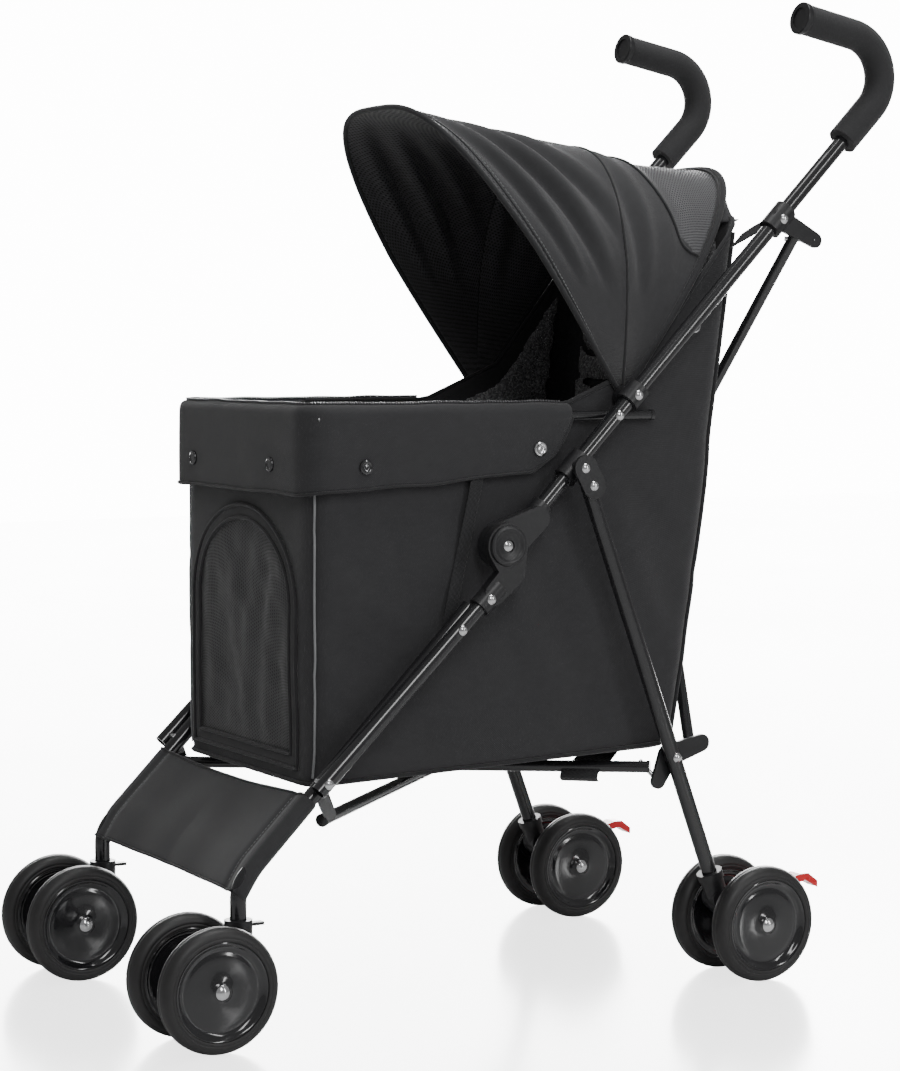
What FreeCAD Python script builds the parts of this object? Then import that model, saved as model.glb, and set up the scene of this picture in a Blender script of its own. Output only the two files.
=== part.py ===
"""Pet stroller: two folding side frames, a fabric cabin and twin-wheel casters.

Millimetres. +Z is up, the front faces -Y and +X is the stroller's left. Every place is first
measured from the ground under the front axle, y rearwards, and then moved so that the origin is
the centre of the footprint.
"""
import FreeCAD, Part
import math
import os

V = FreeCAD.Vector

# ---- overall sizes -----------------------------------------------------------------------
wheel_dia = 120.0
wheelbase = 612.0
frame_half_width = 168.0
rear_leg_outset = 12.0
rear_half_track = frame_half_width + rear_leg_outset
handle_slope = 45.3
cabin_side_gap = 22.0
cabin_half_width = frame_half_width - cabin_side_gap

# ---- tubes -------------------------------------------------------------------------------
tube_dia = 16.0
tube_wall = 1.2
brace_dia = 12.0
rim_arm_dia = 10.0
arm_cap_wall = 0.5
sleeve_wall = 3.0
plate_thick = 4.0
rivet_dia = 5.0
rivet_head_dia = 10.0
rivet_head_high = 2.6

# ---- clearances --------------------------------------------------------------------------
running_gap = 0.3
cloth_gap = 0.5
fold_gap = 2.2
brace_overhang = 5.0
brace_cap_wall = 0.6

# ---- side profile, as (y, z) -------------------------------------------------------------
hinge_at = (319.0, 461.0)
handle_foot = (355.6, 480.0)
handle_length = 551.0
grip_corner = 135.0
grip_turn_radius = 45.0
grip_end_rise = 169.2
grip_hand_length = 148.3
grip_dia = 32.0
grip_cap_thick = 7.0
rear_pivot = (420.0, 517.0)
rear_leg_foot = (581.0, 84.0)
outer_tube_top = (309.0, 419.0)
outer_tube_foot = (114.0, 233.0)
leg_tube_top = (290.0, 400.5)
leg_tube_slope = 45.0
caster_trail = 38.0
stem_foot_height = 97.0
stem_bend_radius = 34.0
canopy_pivot = (481.0, 604.0)
brace_top = (679.0, 768.0)
brace_foot = (566.0, 246.0)
floor_rear = (505.0, 217.0)
floor_front = (134.0, 208.0)
brace_half_top = frame_half_width - 8.0
brace_half_foot = rear_half_track - 22.0
brace_top_axis = (-0.5442, -0.8365, 0.0643)
floor_axis = (-0.6287, -0.3645, 0.6869)
brace_offset = 6.6

# ---- hinge and brackets ------------------------------------------------------------------
hinge_disc_dia = 45.0
hinge_outset = 15.0
hinge_mid = frame_half_width + hinge_outset
hinge_half_thick = 11.0
bracket_length = 30.0
bracket_tab_dia = 26.0

# ---- wheels ------------------------------------------------------------------------------
twin_spacing = 73.2
tyre_width = 24.0
tyre_depth = 13.0
tyre_round = 7.5
disc_thick = 5.0
hub_dia = 26.0
axle_dia = 8.0
hub_cap_dia = 15.0
fork_width = 22.0
caster_head_dia = 27.0

# ---- brake lever -------------------------------------------------------------------------
lever_pivot = (634.0, 78.0)
lever_reach = 70.0
lever_width = 18.0

# ---- cabin -------------------------------------------------------------------------------
cloth_thick = 3.0
cabin_front = 126.0
cabin_rim_height = 597.0
cabin_floor_front = 228.0
cabin_floor_rear = 240.0
cabin_back_foot = 546.0
cabin_back_mid = (574.0, 400.0)
cabin_back_top = (630.0, 790.0)
rim_length = 288.0
collar_drop = 82.0
collar_thick = 2.0
collar_outset = 15.8
collar_half_width = cabin_half_width + collar_outset
collar_front_gap = 11.0
pad_thick = 14.0
arm_clamp_gap = 1.0

# ---- canopy ------------------------------------------------------------------------------
canopy_front_angle = 125.0
canopy_mid_angle = 88.0
canopy_rear_angle = 54.0
canopy_front_radius = 360.0
canopy_mid_radius = 262.0
canopy_rear_radius = 300.0
canopy_front_half = cabin_half_width + 17.0
canopy_rear_half = cabin_half_width + 8.0
canopy_thick = 2.5
canopy_foot = 10.0
canopy_foot_half = cabin_half_width + 3.0

# ---- footrest ----------------------------------------------------------------------------
footrest_thick = 2.0
footrest_top = 110.0
footrest_foot = 46.0

# ---- derived -----------------------------------------------------------------------------
wheel_radius = wheel_dia / 2
tube_radius = tube_dia / 2
sleeve_radius = tube_radius + sleeve_wall
outer_tube_x = frame_half_width + tube_dia + 2.0
rim_arm_height = canopy_pivot[1] - sleeve_radius - 1.0 - rim_arm_dia / 2 - arm_clamp_gap
handle_dir = V(0, math.cos(math.radians(handle_slope)), math.sin(math.radians(handle_slope)))
handle_start = V(frame_half_width, handle_foot[0], handle_foot[1])
grip_start = handle_start + handle_dir * handle_length
grip_bend = grip_start + handle_dir * grip_corner
grip_back = V(0, math.cos(math.radians(grip_end_rise)), math.sin(math.radians(grip_end_rise)))
grip_tip = grip_bend + grip_back * grip_hand_length
leg_run = V(0, math.cos(math.radians(leg_tube_slope)), math.sin(math.radians(leg_tube_slope)))

LEFT = "left"
RIGHT = "right"


def at(x, place):
    """A point from its x and its place in the side profile."""
    return V(x, place[0], place[1])


def rod(start, end, radius):
    run = end - start
    return Part.makeCylinder(radius, run.Length, start, run)


def pin(x0, x1, place, radius):
    """A cylinder along X between x0 and x1."""
    return Part.makeCylinder(radius, x1 - x0, V(x0, place[0], place[1]), V(1, 0, 0))


def prism(outline, x0, x1):
    """The closed outline of (y, z) places, carried from x0 to x1."""
    corners = [V(x0, y, z) for y, z in outline]
    face = Part.Face(Part.makePolygon(corners + corners[:1]))
    return face.extrude(V(x1 - x0, 0, 0))


def lobe(p, rp, q, rq, x0, x1):
    """A flat link with a round end of radius rp at p and one of radius rq at q."""
    run = math.hypot(q[0] - p[0], q[1] - p[1])
    heading = math.atan2(q[1] - p[1], q[0] - p[0])
    lean = math.acos((rp - rq) / run)
    sides = []
    for turn in (lean, -lean):
        c = math.cos(heading + turn)
        s = math.sin(heading + turn)
        sides.append(((p[0] + rp * c, p[1] + rp * s), (q[0] + rq * c, q[1] + rq * s)))
    outline = [sides[0][0], sides[0][1], sides[1][1], sides[1][0]]
    link = prism(outline, x0, x1)
    return link.fuse([pin(x0, x1, p, rp), pin(x0, x1, q, rq)]).removeSplitter()


def path(points, bend):
    """A wire through the points, with each inner corner rounded to the bend radius."""
    edges = []
    here = points[0]
    for i in range(1, len(points) - 1):
        back = (points[i - 1] - points[i]).normalize()
        on = (points[i + 1] - points[i]).normalize()
        half = back.getAngle(on) / 2
        reach = bend / math.tan(half)
        start = points[i] + back * reach
        end = points[i] + on * reach
        inward = (back + on).normalize()
        middle = points[i] + inward * (bend / math.sin(half) - bend)
        edges.append(Part.makeLine(here, start))
        edges.append(Part.Arc(start, middle, end).toShape())
        here = end
    edges.append(Part.makeLine(here, points[-1]))
    return Part.Wire(edges)


def swept(points, bend, radius):
    wire = path(points, bend)
    run = points[1] - points[0]
    ring = Part.Wire(Part.makeCircle(radius, points[0], run))
    return wire.makePipeShell([ring], True, False)


def bent_tube(points, bend):
    return swept(points, bend, tube_radius).cut(swept(points, bend, tube_radius - tube_wall))


def straight_tube(start, end, dia):
    return rod(start, end, dia / 2).cut(rod(start, end, dia / 2 - tube_wall))


def domed_head(place, toward, radius, height):
    """A domed rivet head standing on a point and facing along a direction."""
    ball = (radius * radius + height * height) / (2 * height)
    centre = place - toward * (ball - height)
    sphere = Part.makeSphere(ball, centre)
    keep = Part.makeCylinder(radius * 1.5, height * 1.5, place, toward)
    return sphere.common(keep)


def saddle_head(place, *tubes):
    """A rivet head that sits down on the round of a tube at its outermost line."""
    sunk = V(2.0, 0, 0)
    foot = Part.makeCylinder(rivet_head_dia / 2, 2.0, place - sunk, V(1, 0, 0))
    head = domed_head(place, V(1, 0, 0), rivet_head_dia / 2, rivet_head_high)
    return head.fuse(foot).cut(list(tubes))


def rivet(x0, x1, place, head=rivet_head_dia):
    """A shank along X with a domed head on its outer end."""
    shank = pin(x0, x1, place, rivet_dia / 2)
    return shank.fuse(domed_head(V(x1, place[0], place[1]), V(1, 0, 0), head / 2, rivet_head_high))


def along(place, end, distance):
    """The place a distance from the first place towards the end."""
    run = math.hypot(end[0] - place[0], end[1] - place[1])
    return (place[0] + (end[0] - place[0]) * distance / run,
            place[1] + (end[1] - place[1]) * distance / run)


def handle_place(y):
    """The place on the handle tube's axis at a given y."""
    t = (y - handle_foot[0]) / handle_dir.y
    return (y, handle_foot[1] + t * handle_dir.z)


# ---- side frame --------------------------------------------------------------------------
def handle_tube():
    stop = grip_tip - grip_back * 3.0
    return bent_tube([handle_start, grip_bend, stop], grip_turn_radius)


def handle_grip():
    line = [grip_start, grip_bend, grip_tip]
    foam = swept(line, grip_turn_radius, grip_dia / 2)
    return foam.cut(swept(line, grip_turn_radius, tube_radius))


def grip_cap():
    face = grip_tip
    body = Part.makeCylinder(grip_dia / 2 + 1.0, grip_cap_thick, face, grip_back)
    dish = Part.makeCylinder(grip_dia / 2 - 5.0, 1.5, face + grip_back * (grip_cap_thick - 1.5), grip_back)
    rounded = body.makeFillet(1.5, [e for e in body.Edges if len(e.Vertexes) == 1])
    return rounded.cut(dish)


def upper_elbow():
    start = handle_start - handle_dir * 6.0
    sleeve = rod(start, handle_start + handle_dir * 26.0, sleeve_radius)
    arm_x = (hinge_mid - hinge_half_thick, hinge_mid)
    near = handle_place(handle_foot[0] + 6.0)
    arm = lobe(hinge_at, hinge_disc_dia / 2, near, sleeve_radius + 1.0, arm_x[0], arm_x[1])
    body = sleeve.fuse(arm)
    body = body.cut(rod(handle_start, handle_start + handle_dir * 60.0, tube_radius))
    return body.cut(pin(0, hinge_mid + 20, hinge_at, rivet_dia / 2)).removeSplitter()


def sleeve_on_handle(y, length):
    centre = at(frame_half_width, handle_place(y))
    half = handle_dir * (length / 2)
    return rod(centre - half, centre + half, sleeve_radius + 1.0)


def cut_handle(body):
    return body.cut(rod(handle_start, grip_start, tube_radius))


tab_inner_x = rear_half_track + tube_radius + running_gap * 2
tab_outer_x = tab_inner_x + plate_thick
leg_bracket_y = 410.0


def leg_bracket():
    top = handle_place(leg_bracket_y)
    tab = lobe(top, bracket_tab_dia / 2, rear_pivot, bracket_tab_dia / 2, tab_inner_x, tab_outer_x)
    web = pin(frame_half_width, tab_outer_x, top, tube_radius)
    body = sleeve_on_handle(leg_bracket_y, bracket_length).fuse([tab, web])
    return cut_handle(body).cut(pin(tab_inner_x - 1, tab_outer_x + 1, rear_pivot, rivet_dia / 2))


brace_bracket_y = 660.0


def brace_bracket(side):
    """A sleeve on the handle tube with a plate out to the cross brace's bolt."""
    sleeve = sleeve_on_handle(brace_bracket_y, bracket_length)
    x = plate_x("back")
    bolt = brace_bolt_end(side, "back")
    plate = lobe(handle_place(brace_bracket_y), sleeve_radius, bolt, 8.0, x, x + plate_thick)
    body = cut_handle(sleeve.fuse(plate))
    body = body if side == LEFT else mirrored(body)
    return body.cut(brace_pin(side, "back"))


def canopy_clamp():
    y = canopy_pivot[0]
    place = handle_place(y)
    sleeve = sleeve_on_handle(y, bracket_length * 0.7)
    boss = pin(canopy_foot_half + running_gap, frame_half_width, canopy_pivot, sleeve_radius + 1.0)
    return cut_handle(sleeve.fuse(boss))


arm_centre_x = cabin_half_width + running_gap + arm_cap_wall + rim_arm_dia / 2
arm_rear_y = 512.0
arm_front_y = cabin_front + 8.0
arm_rivet_y = 461.0


def rim_arm():
    start = V(arm_centre_x, arm_front_y, rim_arm_height)
    end = V(arm_centre_x, arm_rear_y, rim_arm_height)
    tube = rod(start, end, rim_arm_dia / 2).cut(rod(start, end, rim_arm_dia / 2 - tube_wall))
    run = (end - start).normalize()
    cap = Part.makeCylinder(rim_arm_dia / 2 + arm_cap_wall, 4.0, end, run)
    nose = Part.makeCylinder(rim_arm_dia / 2 + arm_cap_wall, 4.0, start - run * 4.0, run)
    return tube.fuse([cap, nose])


def side_rivets():
    """The hinge bolt, the rear leg's bolt and the heads on the handle tube's brackets."""
    tube = rod(handle_start, grip_start, tube_radius)
    joined = [rivet(hinge_mid - hinge_half_thick - 3.0,
                    hinge_mid + hinge_half_thick + running_gap * 2, hinge_at, 12.0)]
    joined.append(rivet(frame_half_width + tube_radius + 1.0, tab_outer_x, rear_pivot))
    top = handle_place(leg_bracket_y)
    joined.append(domed_head(V(tab_outer_x, top[0], top[1]), V(1, 0, 0),
                             rivet_head_dia / 2, rivet_head_high))
    for y in (canopy_pivot[0], brace_bracket_y):
        centre = at(frame_half_width, handle_place(y))
        collar = rod(centre - handle_dir * 20.0, centre + handle_dir * 20.0, sleeve_radius + 1.0)
        joined.append(saddle_head(centre + V(sleeve_radius + 1.0, 0, 0), collar))
    place = handle_place(arm_rivet_y)
    joined.append(saddle_head(at(frame_half_width + tube_radius, place), tube))
    arm = rod(V(arm_centre_x, arm_front_y, rim_arm_height), V(arm_centre_x, arm_rear_y, rim_arm_height),
              rim_arm_dia / 2)
    joined.append(pin(arm_centre_x, frame_half_width, place, rivet_dia / 2).cut([tube, arm]))
    return joined


# ---- cross braces ------------------------------------------------------------------------
def brace_ends(side, kind):
    """The two ends of a brace that starts on the given side and ends on the other."""
    if kind == "back":
        start = V(brace_half_top, brace_top[0], brace_top[1])
        end = V(-brace_half_foot, brace_foot[0], brace_foot[1])
        shift = V(0, 1, 0)
    else:
        start = V(brace_half_foot, floor_rear[0], floor_rear[1])
        end = V(-brace_half_foot, floor_front[0], floor_front[1])
        shift = V(0, 0, 1)
    sign = 1 if side == LEFT else -1
    start = V(start.x * sign, start.y, start.z)
    end = V(end.x * sign, end.y, end.z)
    return start + shift * brace_offset * sign, end + shift * brace_offset * sign


def brace_run(side, kind):
    start, end = brace_ends(side, kind)
    return (end - start).normalize()


def plate_x(kind):
    """The inner face of the plate that carries a brace, just clear of the brace's cap."""
    across = abs(brace_run(LEFT, kind).x)
    half = brace_half_top if kind == "back" else brace_half_foot
    cap = brace_dia / 2 + brace_cap_wall
    return half + brace_overhang * across + cap * math.sqrt(1 - across * across) + fold_gap


def brace_axis(side, kind):
    """The direction of the bolt that the brace swings on."""
    a = V(*(brace_top_axis if kind == "back" else floor_axis)).normalize()
    return a if side == LEFT else V(-a.x, a.y, a.z)


def brace_bolt_reach(side, kind):
    start = brace_ends(side, kind)[0]
    return (plate_x(kind) + plate_thick / 2 - abs(start.x)) / abs(brace_axis(side, kind).x)


def brace_bolt_end(side, kind):
    """Where the brace's bolt meets the middle of its plate, as a (y, z) place."""
    end = brace_ends(side, kind)[0] - brace_axis(side, kind) * brace_bolt_reach(side, kind)
    return (end.y, end.z)


def brace_bar(side, kind):
    start, end = brace_ends(side, kind)
    run = brace_run(side, kind)
    tip = run * brace_overhang
    bar = rod(start - tip, end + tip, brace_dia / 2)
    cap = brace_dia / 2 + brace_cap_wall
    caps = [rod(start - tip, start - tip + run * 3.0, cap), rod(end + tip - run * 3.0, end + tip, cap)]
    axis = brace_axis(side, kind)
    hole = rod(start - axis * 20.0, start + axis * 20.0, rivet_dia / 2 + running_gap)
    core = rod(start + run * 12.0, end - run * 12.0, brace_dia / 2 - tube_wall)
    return bar.fuse(caps).cut(core).cut(hole)


def brace_pin(side, kind):
    start = brace_ends(side, kind)[0]
    axis = brace_axis(side, kind)
    outer = brace_bolt_reach(side, kind)
    return rod(start - axis * outer, start + axis * (brace_dia / 2 + 3.0), rivet_dia / 2)


# ---- front leg ---------------------------------------------------------------------------
hinge_outer_x = (hinge_mid + running_gap, hinge_mid + hinge_half_thick)
elbow_heel = (hinge_at[0] + 6.0, hinge_at[1] - 27.0)


def lower_elbow():
    top = at(outer_tube_x, outer_tube_top)
    foot = at(outer_tube_x, outer_tube_foot)
    run = (foot - top).normalize()
    sleeve = rod(top - run * 4.0, top + run * 26.0, sleeve_radius)
    x0, x1 = hinge_outer_x
    arm = lobe(hinge_at, hinge_disc_dia / 2, elbow_heel, 13.0, x0, x1)
    near = along(outer_tube_top, outer_tube_foot, 6.0)
    curl = lobe(elbow_heel, 13.0, near, sleeve_radius + 0.5, x0, x1)
    body = sleeve.fuse([arm, curl])
    body = body.cut(rod(top, top + run * 80.0, tube_radius))
    return body.cut(pin(0, x1 + 1, hinge_at, rivet_dia / 2 + running_gap)).removeSplitter()


def outer_tube():
    return straight_tube(at(outer_tube_x, outer_tube_top), at(outer_tube_x, outer_tube_foot), tube_dia)


def leg_corner():
    """Where the sloping leg tube would meet the caster stem's axis."""
    drop = leg_tube_top[0] - caster_trail
    return (caster_trail, leg_tube_top[1] - drop * leg_run.z / leg_run.y)


def leg_tube():
    corner = leg_corner()
    points = [at(frame_half_width, leg_tube_top), at(frame_half_width, corner),
              V(frame_half_width, caster_trail, stem_foot_height)]
    outer = swept(points, stem_bend_radius, tube_radius)
    inner = swept(points, stem_bend_radius, tube_radius - tube_wall)
    x = plate_x("floor")
    seat = along(leg_tube_top, corner, 236.0)
    tab = lobe(seat, 7.0, floor_front, 6.0, x, x + plate_thick)
    return outer.fuse(tab).cut(inner)


def leg_rivets():
    """Heads on the outer tube, and the spacers that tie it to the leg tube."""
    outer = outer_tube_x + tube_radius
    top = at(outer_tube_x, outer_tube_top)
    foot = at(outer_tube_x, outer_tube_foot)
    run = (foot - top).normalize()
    sleeve = rod(top - run * 4.0, top + run * 26.0, sleeve_radius)
    tube = rod(top, foot, tube_radius)
    inner = rod(at(frame_half_width, leg_tube_top), at(frame_half_width, leg_corner()), tube_radius)
    place = along(outer_tube_top, outer_tube_foot, 14.0)
    pieces = [saddle_head(V(outer + sleeve_wall, place[0], place[1]), sleeve)]
    for distance in (56.0, 258.0):
        place = along(outer_tube_top, outer_tube_foot, distance)
        pieces.append(saddle_head(V(outer, place[0], place[1]), tube))
        spacer = pin(frame_half_width, outer_tube_x, place, rivet_dia / 2 + 1.0)
        pieces.append(spacer.cut([tube, inner]))
    return Part.makeCompound(pieces)


def footrest_panel():
    """A cloth panel stretched between the leg tubes, with a hem round each of them."""
    shape = None
    for sign in (1, -1):
        x = frame_half_width * sign
        corner = leg_corner()
        low = V(x, footrest_foot, corner[1] + (footrest_foot - corner[0]))
        high = V(x, footrest_top, corner[1] + (footrest_top - corner[0]))
        hem = rod(low, high, tube_radius + running_gap + footrest_thick)
        hem = hem.cut(rod(low - leg_run * 5, high + leg_run * 5, tube_radius + running_gap))
        shape = hem if shape is None else shape.fuse(hem)
    lift = V(0, -leg_run.z, leg_run.y) * (tube_radius + running_gap)
    x = frame_half_width
    a = V(-x, low.y, low.z) + lift
    b = V(x, low.y, low.z) + lift
    c = V(x, high.y, high.z) + lift
    d = V(-x, high.y, high.z) + lift
    face = Part.Face(Part.makePolygon([a, b, c, d, a]))
    sheet = face.extrude(V(0, -leg_run.z, leg_run.y) * footrest_thick)
    return shape.fuse(sheet)


# ---- casters and wheels ------------------------------------------------------------------
def caster_fork():
    centre = (caster_trail, stem_foot_height)
    head_low = stem_foot_height - 8.0
    head = Part.makeCylinder(caster_head_dia / 2, 27.0,
                             V(frame_half_width, caster_trail, head_low), V(0, 0, 1))
    x0 = frame_half_width - fork_width / 2
    x1 = frame_half_width + fork_width / 2
    arm = lobe((0.0, wheel_radius), 15.0, (caster_trail - 3.0, head_low + 7.0), 11.0, x0, x1)
    tab = Part.makeBox(8.0, 14.0, 3.0,
                       V(frame_half_width - 4.0, caster_trail + caster_head_dia / 2 - 2.0, head_low + 20.0))
    socket = Part.makeCylinder(tube_radius + running_gap, 60.0,
                               V(frame_half_width, caster_trail, stem_foot_height - running_gap), V(0, 0, 1))
    bore = pin(x0 - 1, x1 + 1, (0.0, wheel_radius), axle_dia / 2 + running_gap)
    return head.fuse([arm, tab]).cut(socket).cut(bore)


def tyre_pair(x, y):
    rings = []
    for side in (-1, 1):
        centre = x + side * twin_spacing / 2
        solid = pin(centre - tyre_width / 2, centre + tyre_width / 2, (y, wheel_radius), wheel_radius)
        solid = solid.makeFillet(tyre_round, [e for e in solid.Edges if len(e.Vertexes) == 1])
        inner = wheel_radius - tyre_depth
        rings.append(solid.cut(pin(centre - tyre_width, centre + tyre_width, (y, wheel_radius), inner)))
    return Part.makeCompound(rings)


def disc_pair(x, y):
    discs = []
    place = (y, wheel_radius)
    rim = wheel_radius - tyre_depth
    for side in (-1, 1):
        centre = x + side * twin_spacing / 2
        lip = pin(centre - tyre_width / 2 + 2, centre + tyre_width / 2 - 2, place, rim)
        lip = lip.cut(pin(centre - tyre_width, centre + tyre_width, place, rim - 4.0))
        plate = pin(centre - disc_thick / 2, centre + disc_thick / 2, place, rim - 3.0)
        hub = pin(centre - tyre_width / 2, centre + tyre_width / 2, place, hub_dia / 2)
        discs.append(lip.fuse([plate, hub]).cut(pin(x - 90, x + 90, place, axle_dia / 2)))
    return Part.makeCompound(discs)


def axle(x, y):
    reach = twin_spacing / 2 + tyre_width / 2
    place = (y, wheel_radius)
    shaft = pin(x - reach, x + reach, place, axle_dia / 2)
    heads = []
    for sign in (-1, 1):
        foot = V(x + sign * reach, y, wheel_radius)
        heads.append(domed_head(foot, V(sign, 0, 0), hub_cap_dia / 2, 3.5))
    return shaft.fuse(heads)


# ---- rear leg ----------------------------------------------------------------------------
def rear_leg_tube():
    run = (at(rear_half_track, rear_leg_foot) - at(rear_half_track, rear_pivot)).normalize()
    start = at(rear_half_track, rear_pivot) - run * 4.0
    tube = straight_tube(start, at(rear_half_track, rear_leg_foot), tube_dia)
    return tube.cut(pin(0, 400, rear_pivot, rivet_dia / 2 + running_gap))


rear_axle = (wheelbase, wheel_radius)


def rear_housing():
    foot = at(rear_half_track, rear_leg_foot)
    up = (at(rear_half_track, rear_pivot) - foot).normalize()
    sleeve = rod(foot - up * 6.0, foot + up * 26.0, sleeve_radius + 1.0)
    ring = rod(foot + up * 22.0, foot + up * 30.0, sleeve_radius + 2.5)
    x0 = rear_half_track - fork_width / 2
    x1 = rear_half_track + fork_width / 2
    arm = lobe((rear_leg_foot[0] + 1.0, rear_leg_foot[1]), 13.0, rear_axle, 15.0, x0, x1)
    ear = lobe(rear_axle, 12.0, lever_pivot, 7.0, x0, x1)
    slot = pin(rear_half_track - lever_width / 2 - running_gap,
               rear_half_track + lever_width / 2 + running_gap, lever_pivot, 13.0)
    body = sleeve.fuse([ring, arm, ear.cut(slot)])
    body = body.cut(rod(foot, foot + up * 200.0, tube_radius))
    body = body.cut(pin(x0 - 1, x1 + 1, rear_axle, axle_dia / 2 + running_gap))
    return body.cut(pin(x0 - 1, x1 + 1, lever_pivot, 2.0)).removeSplitter()


def leg_place(z):
    """The place on the rear leg's axis at a height."""
    t = (z - rear_pivot[1]) / (rear_leg_foot[1] - rear_pivot[1])
    return (rear_pivot[0] + (rear_leg_foot[0] - rear_pivot[0]) * t, z)


def bracket_seat():
    return leg_place((brace_foot[1] + floor_rear[1]) / 2 + 4.0)


def rear_bracket(side):
    """Flat plate on the leg's inner side that carries both cross braces."""
    mid = bracket_seat()
    x = plate_x("floor")
    bolt = brace_bolt_end(side, "floor")
    upper = lobe(mid, 12.0, brace_foot, 9.0, x, x + plate_thick)
    lower = lobe(mid, 12.0, bolt, 8.0, x, x + plate_thick)
    boss = pin(x, rear_half_track, mid, 7.0)
    leg = rod(at(rear_half_track, rear_pivot), at(rear_half_track, rear_leg_foot), tube_radius)
    body = upper.fuse([lower, boss]).cut(leg)
    body = body if side == LEFT else mirrored(body)
    return body.cut(brace_pin(side, "floor"))


def rear_bolts():
    mid = bracket_seat()
    outer = rear_half_track + tube_radius
    leg = rod(at(rear_half_track, rear_pivot), at(rear_half_track, rear_leg_foot), tube_radius)
    head = saddle_head(V(outer, mid[0], mid[1]), leg)
    x0 = rear_half_track - fork_width / 2
    x1 = rear_half_track + fork_width / 2
    return [head, pin(x0, x1, lever_pivot, 2.0)]


def brake_lever():
    y, z = lever_pivot
    eye = pin(rear_half_track - lever_width / 2, rear_half_track + lever_width / 2, lever_pivot, 6.5)
    outline = [(y - 2, z + 6), (y + 20, z + 15), (y + lever_reach - 22, z + 22),
               (y + lever_reach - 12, z + 22), (y + lever_reach, z + 13), (y + lever_reach, z + 6),
               (y + lever_reach - 16, z + 15), (y + 22, z + 8), (y + 4, z - 4)]
    arm = prism(outline, rear_half_track - lever_width / 2, rear_half_track + lever_width / 2)
    return eye.fuse(arm).cut(pin(0, 400, lever_pivot, 2.0 + running_gap)).removeSplitter()


# ---- cabin -------------------------------------------------------------------------------
def floor_height(y):
    t = (y - cabin_front) / (cabin_back_foot - cabin_front)
    return cabin_floor_front + (cabin_floor_rear - cabin_floor_front) * t


rim_end = (cabin_front + rim_length, cabin_rim_height)


def cabin_bag():
    canopy_edge = arch_point(canopy_rear_angle - 2.0, 0.0, 40.0)
    outer = [(cabin_front, cabin_rim_height), (cabin_front, cabin_floor_front),
             (cabin_back_foot, cabin_floor_rear), cabin_back_mid, cabin_back_top,
             (canopy_edge.y, canopy_edge.z), rim_end]
    body = prism(outer, -cabin_half_width, cabin_half_width)
    t = cloth_thick
    inner = [(cabin_front + t, cabin_back_top[1] + 99), (cabin_front + t, cabin_floor_front + t),
             (cabin_back_foot - t, cabin_floor_rear + t), (cabin_back_mid[0] - t, cabin_back_mid[1]),
             (cabin_back_top[0] - t, cabin_back_top[1]), (cabin_back_top[0] - t, cabin_back_top[1] + 99)]
    return body.cut(prism(inner, -cabin_half_width + t, cabin_half_width - t))


def bag_collar():
    """The zip flap, folded down outside the rim: a front, two sides and a narrow top."""
    front = cabin_front - collar_front_gap
    top = cabin_rim_height + cloth_gap + collar_thick
    outline = [(front, top), (front, cabin_rim_height - collar_drop - 4.0),
               (rim_end[0] - 45.0, cabin_rim_height - collar_drop + 17.0),
               (rim_end[0] - 10.0, cabin_rim_height - collar_drop + 45.0), (rim_end[0], top)]
    body = prism(outline, -collar_half_width, collar_half_width)
    t = collar_thick
    skin = prism([(front + t, top - t), (front + t, 0), (900, 0), (900, top - t)],
                 -collar_half_width + t, collar_half_width - t)
    mouth = prism([(cabin_front + 2, top + 9), (cabin_front + 2, 0), (900, 0), (900, top + 9)],
                  -cabin_half_width + 2, cabin_half_width - 2)
    return body.cut(skin).cut(mouth)


def floor_pad():
    gap = cloth_thick + cloth_gap
    front = cabin_front + gap + 3.0
    rear = cabin_back_foot - gap - 3.0
    outline = [(front, floor_height(front) + gap), (rear, floor_height(rear) + gap),
               (rear, floor_height(rear) + gap + pad_thick), (front, floor_height(front) + gap + pad_thick)]
    half = cabin_half_width - gap - 3.0
    return prism(outline, -half, half)


# ---- canopy ------------------------------------------------------------------------------
def arch_point(angle, x, radius):
    a = math.radians(angle)
    return V(x, canopy_pivot[0] + radius * math.cos(a), canopy_pivot[1] + radius * math.sin(a))


def arch_points(angle, half, top, inset, count=13):
    points = []
    for i in range(count):
        t = math.pi * i / (count - 1)
        side = math.copysign(abs(math.cos(t)) ** 0.62, math.cos(t))
        rise = math.sin(t) ** 0.8
        wide = canopy_foot_half + (half - canopy_foot_half) * min(1.0, rise * 2.0)
        x = (wide - inset) * side
        points.append(arch_point(angle, x, canopy_foot + (top - inset - canopy_foot) * rise))
    return points


def arch_wire(angle, half, top):
    outer = Part.BSplineCurve()
    outer.interpolate(arch_points(angle, half, top, 0.0))
    inner = Part.BSplineCurve()
    inner.interpolate(list(reversed(arch_points(angle, half, top, canopy_thick))))
    a = outer.toShape()
    b = inner.toShape()
    first = Part.makeLine(a.valueAt(a.LastParameter), b.valueAt(b.FirstParameter))
    last = Part.makeLine(b.valueAt(b.LastParameter), a.valueAt(a.FirstParameter))
    return Part.Wire([a, first, b, last])


def canopy_span(stations):
    return Part.makeLoft([arch_wire(*s) for s in stations], True, True)


canopy_mid_half = (canopy_front_half + canopy_rear_half) / 2
front_station = (canopy_front_angle, canopy_front_half, canopy_front_radius)
mid_station = (canopy_mid_angle, canopy_mid_half, canopy_mid_radius)
rear_station = (canopy_rear_angle, canopy_rear_half, canopy_rear_radius)


def canopy_front():
    return canopy_span([front_station, (canopy_mid_angle + 0.3, canopy_mid_half, canopy_mid_radius)])


def canopy_rear():
    return canopy_span([mid_station, rear_station])


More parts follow.
